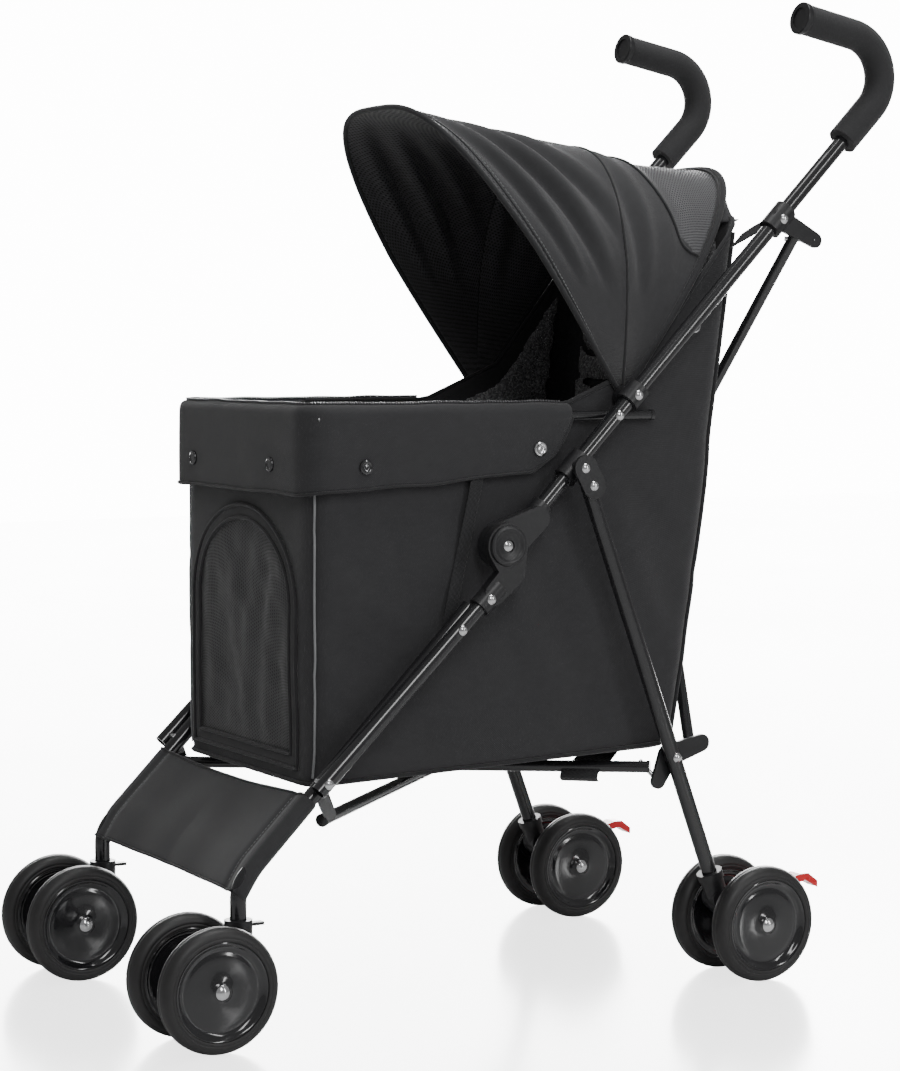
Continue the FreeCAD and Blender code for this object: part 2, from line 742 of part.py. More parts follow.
# ---- export ------------------------------------------------------------------------------
footprint_front = -wheel_radius
grip_rear = grip_start + handle_dir * (grip_corner - grip_turn_radius / math.tan(
    math.radians((180.0 - (grip_end_rise - handle_slope)) / 2)))
grip_turn_centre_y = grip_rear.y - grip_turn_radius * handle_dir.z
footprint_rear = grip_turn_centre_y + grip_turn_radius + grip_dia / 2
shift = V(0, -(footprint_front + footprint_rear) / 2, 0)


def save(name, shape):
    placed = shape.copy()
    placed.translate(shift)
    placed.exportStep("parts/" + name + ".step")


def mirrored(shape):
    return shape.mirror(V(0, 0, 0), V(1, 0, 0))


def save_pair(name, shape):
    save(name + "_" + LEFT, shape)
    save(name + "_" + RIGHT, mirrored(shape))


def main():
    os.makedirs("parts", exist_ok=True)
    pairs = {
        "handle_tube": handle_tube(),
        "handle_grip": handle_grip(),
        "grip_cap": grip_cap(),
        "upper_elbow": upper_elbow(),
        "leg_bracket": leg_bracket(),
        "canopy_clamp": canopy_clamp(),
        "rim_arm": rim_arm(),
        "lower_elbow": lower_elbow(),
        "outer_tube": outer_tube(),
        "leg_tube": leg_tube(),
        "leg_rivets": leg_rivets(),
        "caster_fork": caster_fork(),
        "front_tyres": tyre_pair(frame_half_width, 0.0),
        "front_wheel_discs": disc_pair(frame_half_width, 0.0),
        "front_axle": axle(frame_half_width, 0.0),
        "rear_leg_tube": rear_leg_tube(),
        "rear_housing": rear_housing(),
        "brake_lever": brake_lever(),
        "rear_tyres": tyre_pair(rear_half_track, wheelbase),
        "rear_wheel_discs": disc_pair(rear_half_track, wheelbase),
        "rear_axle": axle(rear_half_track, wheelbase),
    }
    for name, shape in pairs.items():
        save_pair(name, shape)
    singles = {
        "cabin_bag": cabin_bag(),
        "bag_collar": bag_collar(),
        "floor_pad": floor_pad(),
        "canopy_front": canopy_front(),
        "canopy_rear": canopy_rear(),
        "footrest_panel": footrest_panel(),
    }
    for name, shape in singles.items():
        save(name, shape)
    rivets = side_rivets()
    bolts = rear_bolts()
    for side in (LEFT, RIGHT):
        if side == RIGHT:
            rivets = [mirrored(piece) for piece in rivets]
            bolts = [mirrored(piece) for piece in bolts]
        save("side_rivets_" + side, Part.makeCompound(rivets + [brace_pin(side, "back")]))
        save("rear_bolts_" + side, Part.makeCompound(bolts + [brace_pin(side, "floor")]))
        save("brace_bracket_" + side, brace_bracket(side))
        save("rear_bracket_" + side, rear_bracket(side))
        save("back_brace_" + side, brace_bar(side, "back"))
        save("floor_brace_" + side, brace_bar(side, "floor"))


main()
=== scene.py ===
# %% [markdown]
# # A folding pet stroller
# The frame, wheels and brackets come ready made from the CAD model. This lesson adds the sewn
# cabin, the canopy and the wheels' mouldings, and gives every part a finish. We load the CAD
# first, because each new piece takes its place from it.

# %% Load the fixed frame
import bpy
import bmesh
import math
from mathutils import Matrix, Vector, noise


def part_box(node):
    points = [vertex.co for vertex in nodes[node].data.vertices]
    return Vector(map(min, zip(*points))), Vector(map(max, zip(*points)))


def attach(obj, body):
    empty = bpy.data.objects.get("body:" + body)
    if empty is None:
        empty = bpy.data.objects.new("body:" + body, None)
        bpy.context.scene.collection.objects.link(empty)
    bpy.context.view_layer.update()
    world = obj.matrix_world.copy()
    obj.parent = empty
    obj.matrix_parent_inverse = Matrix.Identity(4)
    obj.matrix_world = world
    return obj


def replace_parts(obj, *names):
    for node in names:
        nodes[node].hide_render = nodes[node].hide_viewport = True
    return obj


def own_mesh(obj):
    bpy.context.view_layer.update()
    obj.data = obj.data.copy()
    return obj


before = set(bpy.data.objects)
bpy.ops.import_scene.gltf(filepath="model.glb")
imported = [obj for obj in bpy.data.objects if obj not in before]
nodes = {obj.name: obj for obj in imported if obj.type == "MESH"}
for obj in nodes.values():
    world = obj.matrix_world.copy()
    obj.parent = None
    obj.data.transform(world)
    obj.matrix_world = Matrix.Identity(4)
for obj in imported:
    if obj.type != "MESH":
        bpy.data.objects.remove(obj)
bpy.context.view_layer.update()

# %% [markdown]
# The real stroller is easiest to measure from the ground under its front axle, y towards the
# back, in millimetres. `spot` turns such a place into the model's own frame, in metres. The
# axle's CAD node says where that ground point lies, so nothing has to be fitted by eye.

# %% Places in millimetres
axle_low, axle_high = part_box("front_axle_left")
AXLE_Y = (axle_low.y + axle_high.y) / 2
WHEEL_Z = (axle_low.z + axle_high.z) / 2
MM = 0.001


def spot(x, y, z):
    """Millimetres from the ground under the front axle, as a point of the model."""
    return Vector((x * MM, y * MM + AXLE_Y, z * MM))


print("front axle at y =", round(AXLE_Y, 4), "m, wheel centre height", round(WHEEL_Z, 4), "m")

# %% [markdown]
# ## Camera, floor and studio light
# A product stands on a pale seamless floor in soft light. A long lens keeps its proportions
# true. Large area lamps make the long highlights that show off round black tubes, and a white
# world fills the shadows so that black cloth keeps its detail.

# %% Camera
CAMERA_TURN = math.radians(60.444)
CAMERA_LIFT = math.radians(4.068)
CAMERA_LENS = 90.48
CAMERA_PLACE = (2.45104, -1.40048, 0.65816)
towards_camera = Vector((math.sin(CAMERA_TURN) * math.cos(CAMERA_LIFT),
                         -math.cos(CAMERA_TURN) * math.cos(CAMERA_LIFT),
                         math.sin(CAMERA_LIFT)))
camera_data = bpy.data.cameras.new("camera")
camera_data.sensor_width = 36.0
camera_data.lens = CAMERA_LENS
camera_data.clip_start = 0.05
camera = bpy.data.objects.new("camera", camera_data)
bpy.context.scene.collection.objects.link(camera)
camera.location = CAMERA_PLACE
camera.rotation_euler = (-towards_camera).to_track_quat("-Z", "Y").to_euler()
bpy.context.scene.camera = camera
print("camera at", tuple(round(c, 3) for c in camera.location))


# %% Floor and lamps
LAMP_AIM = (0.0, 0.0, 0.45)
FLOOR_SIZE = 14.0


def deselect():
    """Nothing selected, so that the next operator acts on its own piece only."""
    if bpy.context.object and bpy.context.object.mode != "OBJECT":
        bpy.ops.object.mode_set(mode="OBJECT")
    bpy.ops.object.select_all(action="DESELECT")


def lamp(name, place, size, watts):
    """A square area lamp that faces a point of the stroller."""
    data = bpy.data.lights.new(name, "AREA")
    data.shape = "RECTANGLE"
    data.size, data.size_y = size
    data.energy = watts
    light = bpy.data.objects.new(name, data)
    bpy.context.scene.collection.objects.link(light)
    light.location = place
    light.rotation_euler = (Vector(LAMP_AIM) - Vector(place)).to_track_quat("-Z", "Y").to_euler()


deselect()
bpy.ops.mesh.primitive_plane_add(size=FLOOR_SIZE, location=(0.0, 0.0, 0.0))
floor = bpy.context.object
floor.name = "studio_floor"
lamp("key", (3.0, -1.0, 2.5), (0.7, 1.7), 34.0)
lamp("side_strip", (3.0, 1.3, 1.5), (0.22, 2.2), 20.0)
lamp("top", (0.2, 0.3, 2.8), (1.2, 1.2), 30.0)
lamp("back_strip", (-2.2, 2.2, 1.6), (0.35, 2.0), 26.0)
print("lamps: key, side strip, top, back strip")

# %% [markdown]
# ## Shared surface effects
# Several finishes need the same small effects: a woven thread pattern, a hexagonal net, fine
# grain, fading dust. Each is one node group with named sockets, so a change to the effect
# reaches every material that uses it. The groups put out values only, and the shader itself
# stays in the material.


# %% Building node groups
def new_group(name, inputs, outputs):
    """An empty shader group with float and vector inputs and outputs."""
    tree = bpy.data.node_groups.new(name, "ShaderNodeTree")
    for label, kind, value in inputs:
        socket = tree.interface.new_socket(name=label, in_out="INPUT",
                                           socket_type="NodeSocket" + kind)
        if value is not None:
            socket.default_value = value
    for label, kind in outputs:
        tree.interface.new_socket(name=label, in_out="OUTPUT", socket_type="NodeSocket" + kind)
    return tree, tree.nodes.new("NodeGroupInput"), tree.nodes.new("NodeGroupOutput")


def maths(tree, operation, *values):
    """One Math node: its inputs are numbers or other nodes' sockets."""
    node = tree.nodes.new("ShaderNodeMath")
    node.operation = operation
    for socket, value in zip(node.inputs, values):
        if isinstance(value, bpy.types.NodeSocket):
            tree.links.new(value, socket)
        else:
            socket.default_value = value
    return node.outputs[0]


def noise_node(tree, vector, scale, detail=3.0, roughness=0.55):
    node = tree.nodes.new("ShaderNodeTexNoise")
    tree.links.new(vector, node.inputs["Vector"])
    if isinstance(scale, bpy.types.NodeSocket):
        tree.links.new(scale, node.inputs["Scale"])
    else:
        node.inputs["Scale"].default_value = scale
    node.inputs["Detail"].default_value = detail
    node.inputs["Roughness"].default_value = roughness
    return node.outputs["Fac"]


def fade(tree, value, low, high):
    """0 below low, 1 above high and a smooth step between."""
    node = tree.nodes.new("ShaderNodeMapRange")
    node.interpolation_type = "SMOOTHSTEP"
    tree.links.new(value, node.inputs["Value"])
    node.inputs["From Min"].default_value = low
    node.inputs["From Max"].default_value = high
    return node.outputs["Result"]


# %% The weave group
weave, given, out = new_group(
    "plain_weave", [("Vector", "Vector", None), ("Pitch", "Float", 0.0012)],
    [("Height", "Float"), ("Thread", "Float")])
parts = weave.nodes.new("ShaderNodeSeparateXYZ")
weave.links.new(given.outputs["Vector"], parts.inputs[0])
turns = maths(weave, "DIVIDE", math.pi, given.outputs["Pitch"])
warp = maths(weave, "COSINE", maths(weave, "MULTIPLY", parts.outputs["X"], turns))
weft = maths(weave, "COSINE", maths(weave, "MULTIPLY", parts.outputs["Y"], turns))
crossing = maths(weave, "MULTIPLY", warp, weft)
weave.links.new(maths(weave, "MULTIPLY_ADD", crossing, 0.5, 0.5), out.inputs["Height"])
fibre = noise_node(weave, given.outputs["Vector"], 900.0, 2.0)
slub = noise_node(weave, given.outputs["Vector"], 60.0, 4.0)
weave.links.new(maths(weave, "MULTIPLY", fibre, slub), out.inputs["Thread"])

# %% The net group
net, given, out = new_group(
    "hexagonal_net", [("Vector", "Vector", None), ("Pitch", "Float", 0.003)],
    [("Hole", "Float"), ("Height", "Float")])
parts = net.nodes.new("ShaderNodeSeparateXYZ")
net.links.new(given.outputs["Vector"], parts.inputs[0])
turns = maths(net, "DIVIDE", 2.0 * math.pi / math.cos(math.pi / 6.0), given.outputs["Pitch"])
x = maths(net, "MULTIPLY", parts.outputs["X"], turns)
y = maths(net, "MULTIPLY", parts.outputs["Y"], turns)
half_x = maths(net, "MULTIPLY", x, 0.5)
tilted_y = maths(net, "MULTIPLY", y, math.cos(math.pi / 6.0))
first = maths(net, "COSINE", maths(net, "ADD", half_x, tilted_y))
second = maths(net, "COSINE", maths(net, "SUBTRACT", half_x, tilted_y))
total = maths(net, "ADD", maths(net, "ADD", maths(net, "COSINE", x), first), second)
hole = fade(net, total, 0.2, 1.3)
net.links.new(hole, out.inputs["Hole"])
net.links.new(maths(net, "SUBTRACT", 1.0, hole), out.inputs["Height"])

# %% The grain and dust groups
grain, given, out = new_group(
    "fine_grain", [("Vector", "Vector", None), ("Scale", "Float", 400.0)],
    [("Height", "Float"), ("Patches", "Float")])
fine = noise_node(grain, given.outputs["Vector"], given.outputs["Scale"], 3.0)
grain.links.new(fine, out.inputs["Height"])
wide = maths(grain, "MULTIPLY", given.outputs["Scale"], 0.04)
grain.links.new(noise_node(grain, given.outputs["Vector"], wide, 4.0, 0.6), out.inputs["Patches"])

dust, given, out = new_group("settled_dust", [("Vector", "Vector", None)], [("Mask", "Float")])
facing = dust.nodes.new("ShaderNodeNewGeometry")
up = dust.nodes.new("ShaderNodeSeparateXYZ")
dust.links.new(facing.outputs["Normal"], up.inputs[0])
top_side = fade(dust, up.outputs["Z"], 0.35, 1.0)
specks = fade(dust, noise_node(dust, given.outputs["Vector"], 55.0, 6.0, 0.7), 0.42, 0.75)
dust.links.new(maths(dust, "MULTIPLY", top_side, specks), out.inputs["Mask"])
print("groups:", [g.name for g in bpy.data.node_groups])

# %% [markdown]
# ## Finishes
# Everything on this stroller is nearly black, so the finishes are told apart by their gloss
# and their texture: wet-looking paint on the tubes, fine cells in the foam grips, a satin
# moulding, matt rubber and woven cloth. Each material mixes two close colours by a noise, so
# that no surface is one flat tone.


# %% A starting point for materials
def start_material(name, roughness, metallic=0.0, coordinates="Object"):
    material = bpy.data.materials.new(name)
    material.use_nodes = True
    tree = material.node_tree
    shader = tree.nodes["Principled BSDF"]
    shader.inputs["Roughness"].default_value = roughness
    shader.inputs["Metallic"].default_value = metallic
    place = tree.nodes.new("ShaderNodeTexCoord").outputs[coordinates]
    return material, tree, shader, place


def use_group(tree, group, vector, **values):
    node = tree.nodes.new("ShaderNodeGroup")
    node.node_tree = group
    tree.links.new(vector, node.inputs["Vector"])
    for label, value in values.items():
        node.inputs[label].default_value = value
    return node


def mix_colours(tree, factor, dark, light):
    node = tree.nodes.new("ShaderNodeMix")
    node.data_type = "RGBA"
    tree.links.new(factor, node.inputs["Factor"])
    for socket, colour in ((node.inputs[6], dark), (node.inputs[7], light)):
        if isinstance(colour, bpy.types.NodeSocket):
            tree.links.new(colour, socket)
        else:
            socket.default_value = (*colour, 1.0)
    return node.outputs[2]


def bump(tree, shader, height, depth):
    node = tree.nodes.new("ShaderNodeBump")
    node.inputs["Distance"].default_value = depth
    tree.links.new(height, node.inputs["Height"])
    tree.links.new(node.outputs["Normal"], shader.inputs["Normal"])


def vary_roughness(tree, shader, factor, low, high):
    node = tree.nodes.new("ShaderNodeMapRange")
    tree.links.new(factor, node.inputs["Value"])
    node.inputs["To Min"].default_value = low
    node.inputs["To Max"].default_value = high
    tree.links.new(node.outputs["Result"], shader.inputs["Roughness"])


# %% Hard finishes
def hard_finish(name, dark, light, rough, scale, depth, metallic=0.0, coat=0.0, dusty=0.0):
    """Paint, moulding or metal: two tones, uneven gloss, fine grain and a little dust."""
    material, tree, shader, place = start_material(name, rough[0], metallic)
    texture = use_group(tree, grain, place, Scale=scale)
    colour = mix_colours(tree, texture.outputs["Patches"], dark, light)
    if dusty:
        mask = maths(tree, "MULTIPLY", use_group(tree, dust, place).outputs["Mask"], dusty)
        colour = mix_colours(tree, mask, colour, (0.30, 0.29, 0.27))
    tree.links.new(colour, shader.inputs["Base Color"])
    vary_roughness(tree, shader, texture.outputs["Patches"], *rough)
    bump(tree, shader, texture.outputs["Height"], depth)
    shader.inputs["Coat Weight"].default_value = coat
    shader.inputs["Coat Roughness"].default_value = 0.06
    return material


painted_tube = hard_finish("painted_tube", (0.010, 0.010, 0.011), (0.020, 0.020, 0.022),
                           (0.16, 0.26), 260.0, 0.00002, coat=0.6, dusty=0.05)
satin_moulding = hard_finish("satin_moulding", (0.010, 0.010, 0.011), (0.024, 0.024, 0.026),
                             (0.28, 0.44), 900.0, 0.00005, dusty=0.08)
bright_rivet = hard_finish("bright_rivet", (0.62, 0.62, 0.63), (0.80, 0.80, 0.81),
                           (0.10, 0.24), 500.0, 0.00001, metallic=1.0)
red_moulding = hard_finish("red_moulding", (0.80, 0.006, 0.012), (0.92, 0.012, 0.018),
                           (0.22, 0.36), 700.0, 0.00004, coat=0.3, dusty=0.05)
gloss_disc = hard_finish("gloss_disc", (0.008, 0.008, 0.009), (0.016, 0.016, 0.018),
                         (0.09, 0.20), 180.0, 0.00001, coat=0.8, dusty=0.03)
tyre_rubber = hard_finish("tyre_rubber", (0.016, 0.016, 0.017), (0.032, 0.031, 0.031),
                          (0.38, 0.55), 1100.0, 0.00008, dusty=0.10)
dark_snap = hard_finish("dark_snap", (0.03, 0.03, 0.032), (0.06, 0.06, 0.063),
                        (0.10, 0.2), 500.0, 0.00001, metallic=0.6, coat=0.8)
zip_metal = hard_finish("zip_metal", (0.10, 0.10, 0.105), (0.22, 0.22, 0.225),
                        (0.25, 0.4), 900.0, 0.00002, metallic=0.7)

# %% The foam grips
foam_grip, tree, shader, place = start_material("foam_grip", 0.85)
cells = tree.nodes.new("ShaderNodeTexVoronoi")
tree.links.new(place, cells.inputs["Vector"])
cells.inputs["Scale"].default_value = 900.0
pits = fade(tree, cells.outputs["Distance"], 0.05, 0.45)
mottle = noise_node(tree, place, 35.0, 4.0)
tree.links.new(mix_colours(tree, mottle, (0.012, 0.012, 0.013), (0.030, 0.030, 0.032)),
               shader.inputs["Base Color"])
vary_roughness(tree, shader, mottle, 0.62, 0.9)
bump(tree, shader, pits, 0.00022)
shader.inputs["Sheen Weight"].default_value = 0.15


# %% Woven and netted cloth
def cloth_finish(name, dark, light, pitch, depth, sheen=0.25, coordinates="UV"):
    """Plain-woven cloth: threads in relief, painted lighter where they rise and darker between them
    as painted shade, with slow fading.
    """
    material, tree, shader, place = start_material(name, 0.85, coordinates=coordinates)
    threads = use_group(tree, weave, place, Pitch=pitch)
    fading = noise_node(tree, place, 9.0, 5.0, 0.6)
    tone = maths(tree, "ADD", maths(tree, "MULTIPLY", threads.outputs["Thread"], 0.9),
                 maths(tree, "MULTIPLY", fading, 0.45))
    base = mix_colours(tree, tone, dark, light)
    # Painted shade in the weave: the thread crests are mixed towards the light tone and the gaps
    # between threads stay dark.
    painted_shade_share = maths(tree, "MULTIPLY", threads.outputs["Height"], 0.55)
    colour_with_painted_shade = mix_colours(tree, painted_shade_share, base, light)
    tree.links.new(colour_with_painted_shade, shader.inputs["Base Color"])
    vary_roughness(tree, shader, fading, 0.74, 0.95)
    height = maths(tree, "ADD", threads.outputs["Height"],
                   maths(tree, "MULTIPLY", threads.outputs["Thread"], 0.8))
    bump(tree, shader, height, depth)
    shader.inputs["Sheen Weight"].default_value = sheen
    shader.inputs["Sheen Roughness"].default_value = 0.45
    return material


def net_finish(name, dark, light, pitch, depth, open_share=0.0):
    """A warp-knitted net with hexagonal holes, see-through where open_share is above 0."""
    material, tree, shader, place = start_material(name, 0.8, coordinates="UV")
    mesh = use_group(tree, net, place, Pitch=pitch)
    tone = mix_colours(tree, mesh.outputs["Hole"], light, dark)
    tree.links.new(tone, shader.inputs["Base Color"])
    bump(tree, shader, mesh.outputs["Height"], depth)
    vary_roughness(tree, shader, mesh.outputs["Height"], 0.9, 0.6)
    if open_share:
        gone = maths(tree, "MULTIPLY", mesh.outputs["Hole"], open_share)
        solid = maths(tree, "SUBTRACT", 1.0, gone)
        tree.links.new(solid, shader.inputs["Alpha"])
    shader.inputs["Sheen Weight"].default_value = 0.2
    return material


bag_cloth = cloth_finish("bag_cloth", (0.012, 0.012, 0.013), (0.040, 0.040, 0.043), 0.0011, 0.00022)
hood_cloth = cloth_finish("hood_cloth", (0.013, 0.013, 0.014), (0.046, 0.046, 0.049),
                          0.0010, 0.00020)
binding_cloth = cloth_finish("binding_cloth", (0.008, 0.008, 0.009), (0.026, 0.026, 0.028),
                             0.0009, 0.00015, coordinates="Object")
webbing = cloth_finish("webbing", (0.008, 0.008, 0.009), (0.030, 0.030, 0.032), 0.0024, 0.0004)
lining_net = net_finish("lining_net", (0.004, 0.004, 0.005), (0.060, 0.060, 0.064), 0.0052, 0.0006)
door_net = net_finish("door_net", (0.003, 0.003, 0.004), (0.040, 0.040, 0.042), 0.0036, 0.0004)
window_net = net_finish("window_net", (0.006, 0.006, 0.007), (0.10, 0.10, 0.105), 0.0040, 0.0004,
                        0.6)

# %% Grey plush and the reflective piping
CURL_PULL = 0.012
plush, tree, shader, place = start_material("plush", 0.95)
curls = tree.nodes.new("ShaderNodeTexVoronoi")
wobble = tree.nodes.new("ShaderNodeVectorMath")
wobble.operation = "MULTIPLY_ADD"
curl_noise = tree.nodes.new("ShaderNodeTexNoise")
tree.links.new(place, curl_noise.inputs["Vector"])
curl_noise.inputs["Scale"].default_value = 130.0
curl_noise.inputs["Detail"].default_value = 4.0
tree.links.new(curl_noise.outputs["Color"], wobble.inputs[0])
wobble.inputs[1].default_value = (CURL_PULL,) * 3
tree.links.new(place, wobble.inputs[2])
tree.links.new(wobble.outputs["Vector"], curls.inputs["Vector"])
curls.inputs["Scale"].default_value = 330.0
tuft_height_and_shade = fade(tree, curls.outputs["Distance"], 0.0, 0.75)
# Partly the plush's own grey, partly painted shade: tuft crowns light and the gaps between the
# curls dark, by the same mask that gives the bump.
tree.links.new(mix_colours(tree, tuft_height_and_shade, (0.40, 0.40, 0.415), (0.12, 0.12, 0.125)),
               shader.inputs["Base Color"])
bump(tree, shader, maths(tree, "SUBTRACT", 1.0, tuft_height_and_shade), 0.0018)
shader.inputs["Sheen Weight"].default_value = 0.5

pale_piping, tree, shader, place = start_material("pale_piping", 0.4)
beads = use_group(tree, grain, place, Scale=1500.0)
glint = mix_colours(tree, beads.outputs["Patches"], (0.16, 0.165, 0.17), (0.30, 0.305, 0.31))
tree.links.new(glint, shader.inputs["Base Color"])
vary_roughness(tree, shader, beads.outputs["Patches"], 0.3, 0.55)
bump(tree, shader, beads.outputs["Height"], 0.0001)

# %% [markdown]
# The backdrop has to come out white without lighting black cloth until it looks grey. The
# world and the floor are therefore bright for the camera's own rays only. Behind the stroller
# the world also shines in reflections, so that the floor mirrors it faintly.

# %% White floor and world
FLOOR_GLOW, SEEN_WORLD, MIRRORED_WORLD, SHADOW_FILL = 2.6, 14.0, 20.0, 0.26
floor_paint, tree, shader, place = start_material("floor_paint", 0.2)
tone = noise_node(tree, place, 1.5, 2.0)
tree.links.new(mix_colours(tree, tone, (0.80, 0.80, 0.80), (0.84, 0.84, 0.84)),
               shader.inputs["Base Color"])
vary_roughness(tree, shader, tone, 0.16, 0.22)
shader.inputs["Emission Color"].default_value = (1.0, 1.0, 1.0, 1.0)
seen = tree.nodes.new("ShaderNodeLightPath").outputs["Is Camera Ray"]
tree.links.new(maths(tree, "MULTIPLY", seen, FLOOR_GLOW), shader.inputs["Emission Strength"])
floor.data.materials.append(floor_paint)
world = bpy.data.worlds.new("studio")
world.use_nodes = True
tree = world.node_tree
background = tree.nodes["Background"]
background.inputs["Color"].default_value = (1.0, 1.0, 1.0, 1.0)
rays = tree.nodes.new("ShaderNodeLightPath")
heading = tree.nodes.new("ShaderNodeVectorMath")
heading.operation = "DOT_PRODUCT"
tree.links.new(tree.nodes.new("ShaderNodeTexCoord").outputs["Generated"], heading.inputs[0])
heading.inputs[1].default_value = (-math.sin(CAMERA_TURN), math.cos(CAMERA_TURN), 0.0)
behind = maths(tree, "MULTIPLY", fade(tree, heading.outputs["Value"], 0.80, 0.97),
               rays.outputs["Is Glossy Ray"])
ambient = maths(tree, "MULTIPLY_ADD", behind, MIRRORED_WORLD, SHADOW_FILL)
strength = maths(tree, "MULTIPLY_ADD", rays.outputs["Is Camera Ray"], SEEN_WORLD, ambient)
tree.links.new(strength, background.inputs["Strength"])
bpy.context.scene.world = world
print("materials:", len(bpy.data.materials))

# %% [markdown]
# ## Finishes on the CAD nodes
# A CAD node keeps its mesh, and only its material slots change. The name of each node says
# what it is made of, so one short table dresses them all.

# %% Dress the CAD nodes
NODE_FINISH = {
    "handle_tube": painted_tube, "outer_tube": painted_tube, "leg_tube": painted_tube,
    "rear_leg_tube": painted_tube, "back_brace": painted_tube, "floor_brace": painted_tube,
    "rim_arm": painted_tube, "handle_grip": foam_grip, "grip_cap": satin_moulding,
    "upper_elbow": satin_moulding, "lower_elbow": satin_moulding, "leg_bracket": satin_moulding,
    "brace_bracket": satin_moulding, "canopy_clamp": satin_moulding,
    "caster_fork": satin_moulding, "rear_housing": satin_moulding,
    "rear_bracket": satin_moulding, "side_rivets": bright_rivet, "leg_rivets": bright_rivet,
    "rear_bolts": bright_rivet, "front_axle": bright_rivet, "rear_axle": bright_rivet,
    "brake_lever": red_moulding,
}
for name, node in nodes.items():
    kind = name.rsplit("_", 1)[0]
    if kind in NODE_FINISH:
        node.data.materials.clear()
        node.data.materials.append(NODE_FINISH[kind])
print("dressed:", sum(n.rsplit("_", 1)[0] in NODE_FINISH for n in nodes), "CAD nodes")

# %% [markdown]
# ## Wheels
# Each wheel is a rubber tyre on a glossy dished disc. Both are turned shapes, so each is one
# closed profile, spun round the axle. The disc is shallow at its middle and rises to a rounded
# lip, which is what catches the long curved highlight.


# %% Spinning a profile
def spun(name, profile, steps=112):
    """A ring whose section is the closed loop of (radius, side) places, in millimetres."""
    deselect()
    bpy.ops.mesh.primitive_circle_add(vertices=len(profile), radius=0.01)
    piece = bpy.context.object
    piece.name = name
    for vertex, (radius, side) in zip(piece.data.vertices, profile):
        vertex.co = (side * MM, 0.0, radius * MM)
    bpy.ops.object.mode_set(mode="EDIT")
    bpy.ops.mesh.select_all(action="SELECT")
    bpy.ops.mesh.spin(steps=steps, angle=2.0 * math.pi, center=(0, 0, 0), axis=(1, 0, 0))
    bpy.ops.mesh.select_all(action="SELECT")
    bpy.ops.mesh.remove_doubles(threshold=0.00002)
    bpy.ops.mesh.normals_make_consistent(inside=False)
    bpy.ops.object.mode_set(mode="OBJECT")
    bpy.ops.object.shade_smooth_by_angle(angle=math.radians(40))
    return piece


def both_sides(half):
    """A closed profile from its outer half, by reflecting it in the wheel's middle plane."""
    return half + [(radius, -side) for radius, side in reversed(half)]


tyre_half = [(47.0, 0.0), (47.0, 6.0), (47.0, 10.4), (47.5, 11.5), (48.6, 12.0), (49.8, 12.0),
             (50.3, 11.6), (50.7, 11.5), (51.2, 11.8), (52.6, 11.8), (54.4, 11.2), (56.2, 10.0),
             (57.7, 8.4), (58.9, 6.3), (59.7, 3.9), (60.0, 1.9), (59.7, 0.9)]
disc_half = [(4.2, 0.0), (4.2, 11.7), (7.8, 11.8), (8.8, 11.4), (9.6, 10.6), (11.0, 9.9),
             (16.0, 9.0), (22.0, 8.3), (28.0, 7.8), (33.0, 7.4), (35.4, 7.0), (37.2, 6.4),
             (39.0, 6.3), (41.0, 7.0), (42.8, 8.4), (44.2, 10.0), (45.3, 11.0), (46.3, 11.3),
             (46.95, 11.0), (46.95, 6.0), (46.95, 0.5)]
tyre_model = spun("tyre_model", both_sides(tyre_half))
disc_model = spun("disc_model", both_sides(disc_half))
print("tyre faces", len(tyre_model.data.polygons), "disc faces", len(disc_model.data.polygons))


# %% Copy the wheels to their axles
def joined_copies(name, source, moves, material):
    """One new mesh from several moved copies of a small mesh."""
    build = bmesh.new()
    for move in moves:
        before = len(build.verts)
        build.from_mesh(source.data)
        build.verts.ensure_lookup_table()
        bmesh.ops.transform(build, matrix=move, verts=build.verts[before:])
    mesh = bpy.data.meshes.new(name)
    build.to_mesh(mesh)
    build.free()
    mesh.materials.clear()
    mesh.materials.append(material)
    piece = bpy.data.objects.new(name, mesh)
    bpy.context.scene.collection.objects.link(piece)
    return piece


TWIN_HALF = 0.0366
for end in ("front", "rear"):
    for side in ("left", "right"):
        low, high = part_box(f"{end}_axle_{side}")
        middle = (low + high) / 2
        moves = [Matrix.Translation(middle + Vector((x, 0, 0))) for x in (-TWIN_HALF, TWIN_HALF)]
        tyres = joined_copies(f"{end}_tyre_pair_{side}", tyre_model, moves, tyre_rubber)
        discs = joined_copies(f"{end}_disc_pair_{side}", disc_model, moves, gloss_disc)
        for piece, node, slot in ((tyres, "tyres", "tyre"),
                                  (discs, "wheel_discs", "wheel_plastic")):
            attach(piece, f"{end}_wheels_{side}")
            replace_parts(piece, f"{end}_{node}_{side}")
for model in (tyre_model, disc_model):
    bpy.data.objects.remove(model)
print("wheels: 8 tyres and 8 discs in 8 pieces")

# %% [markdown]
# A moulded cap closes each folding hinge. It is another turned shape: a rounded ring with a
# shallow dish, where the bolt's bright head sits.

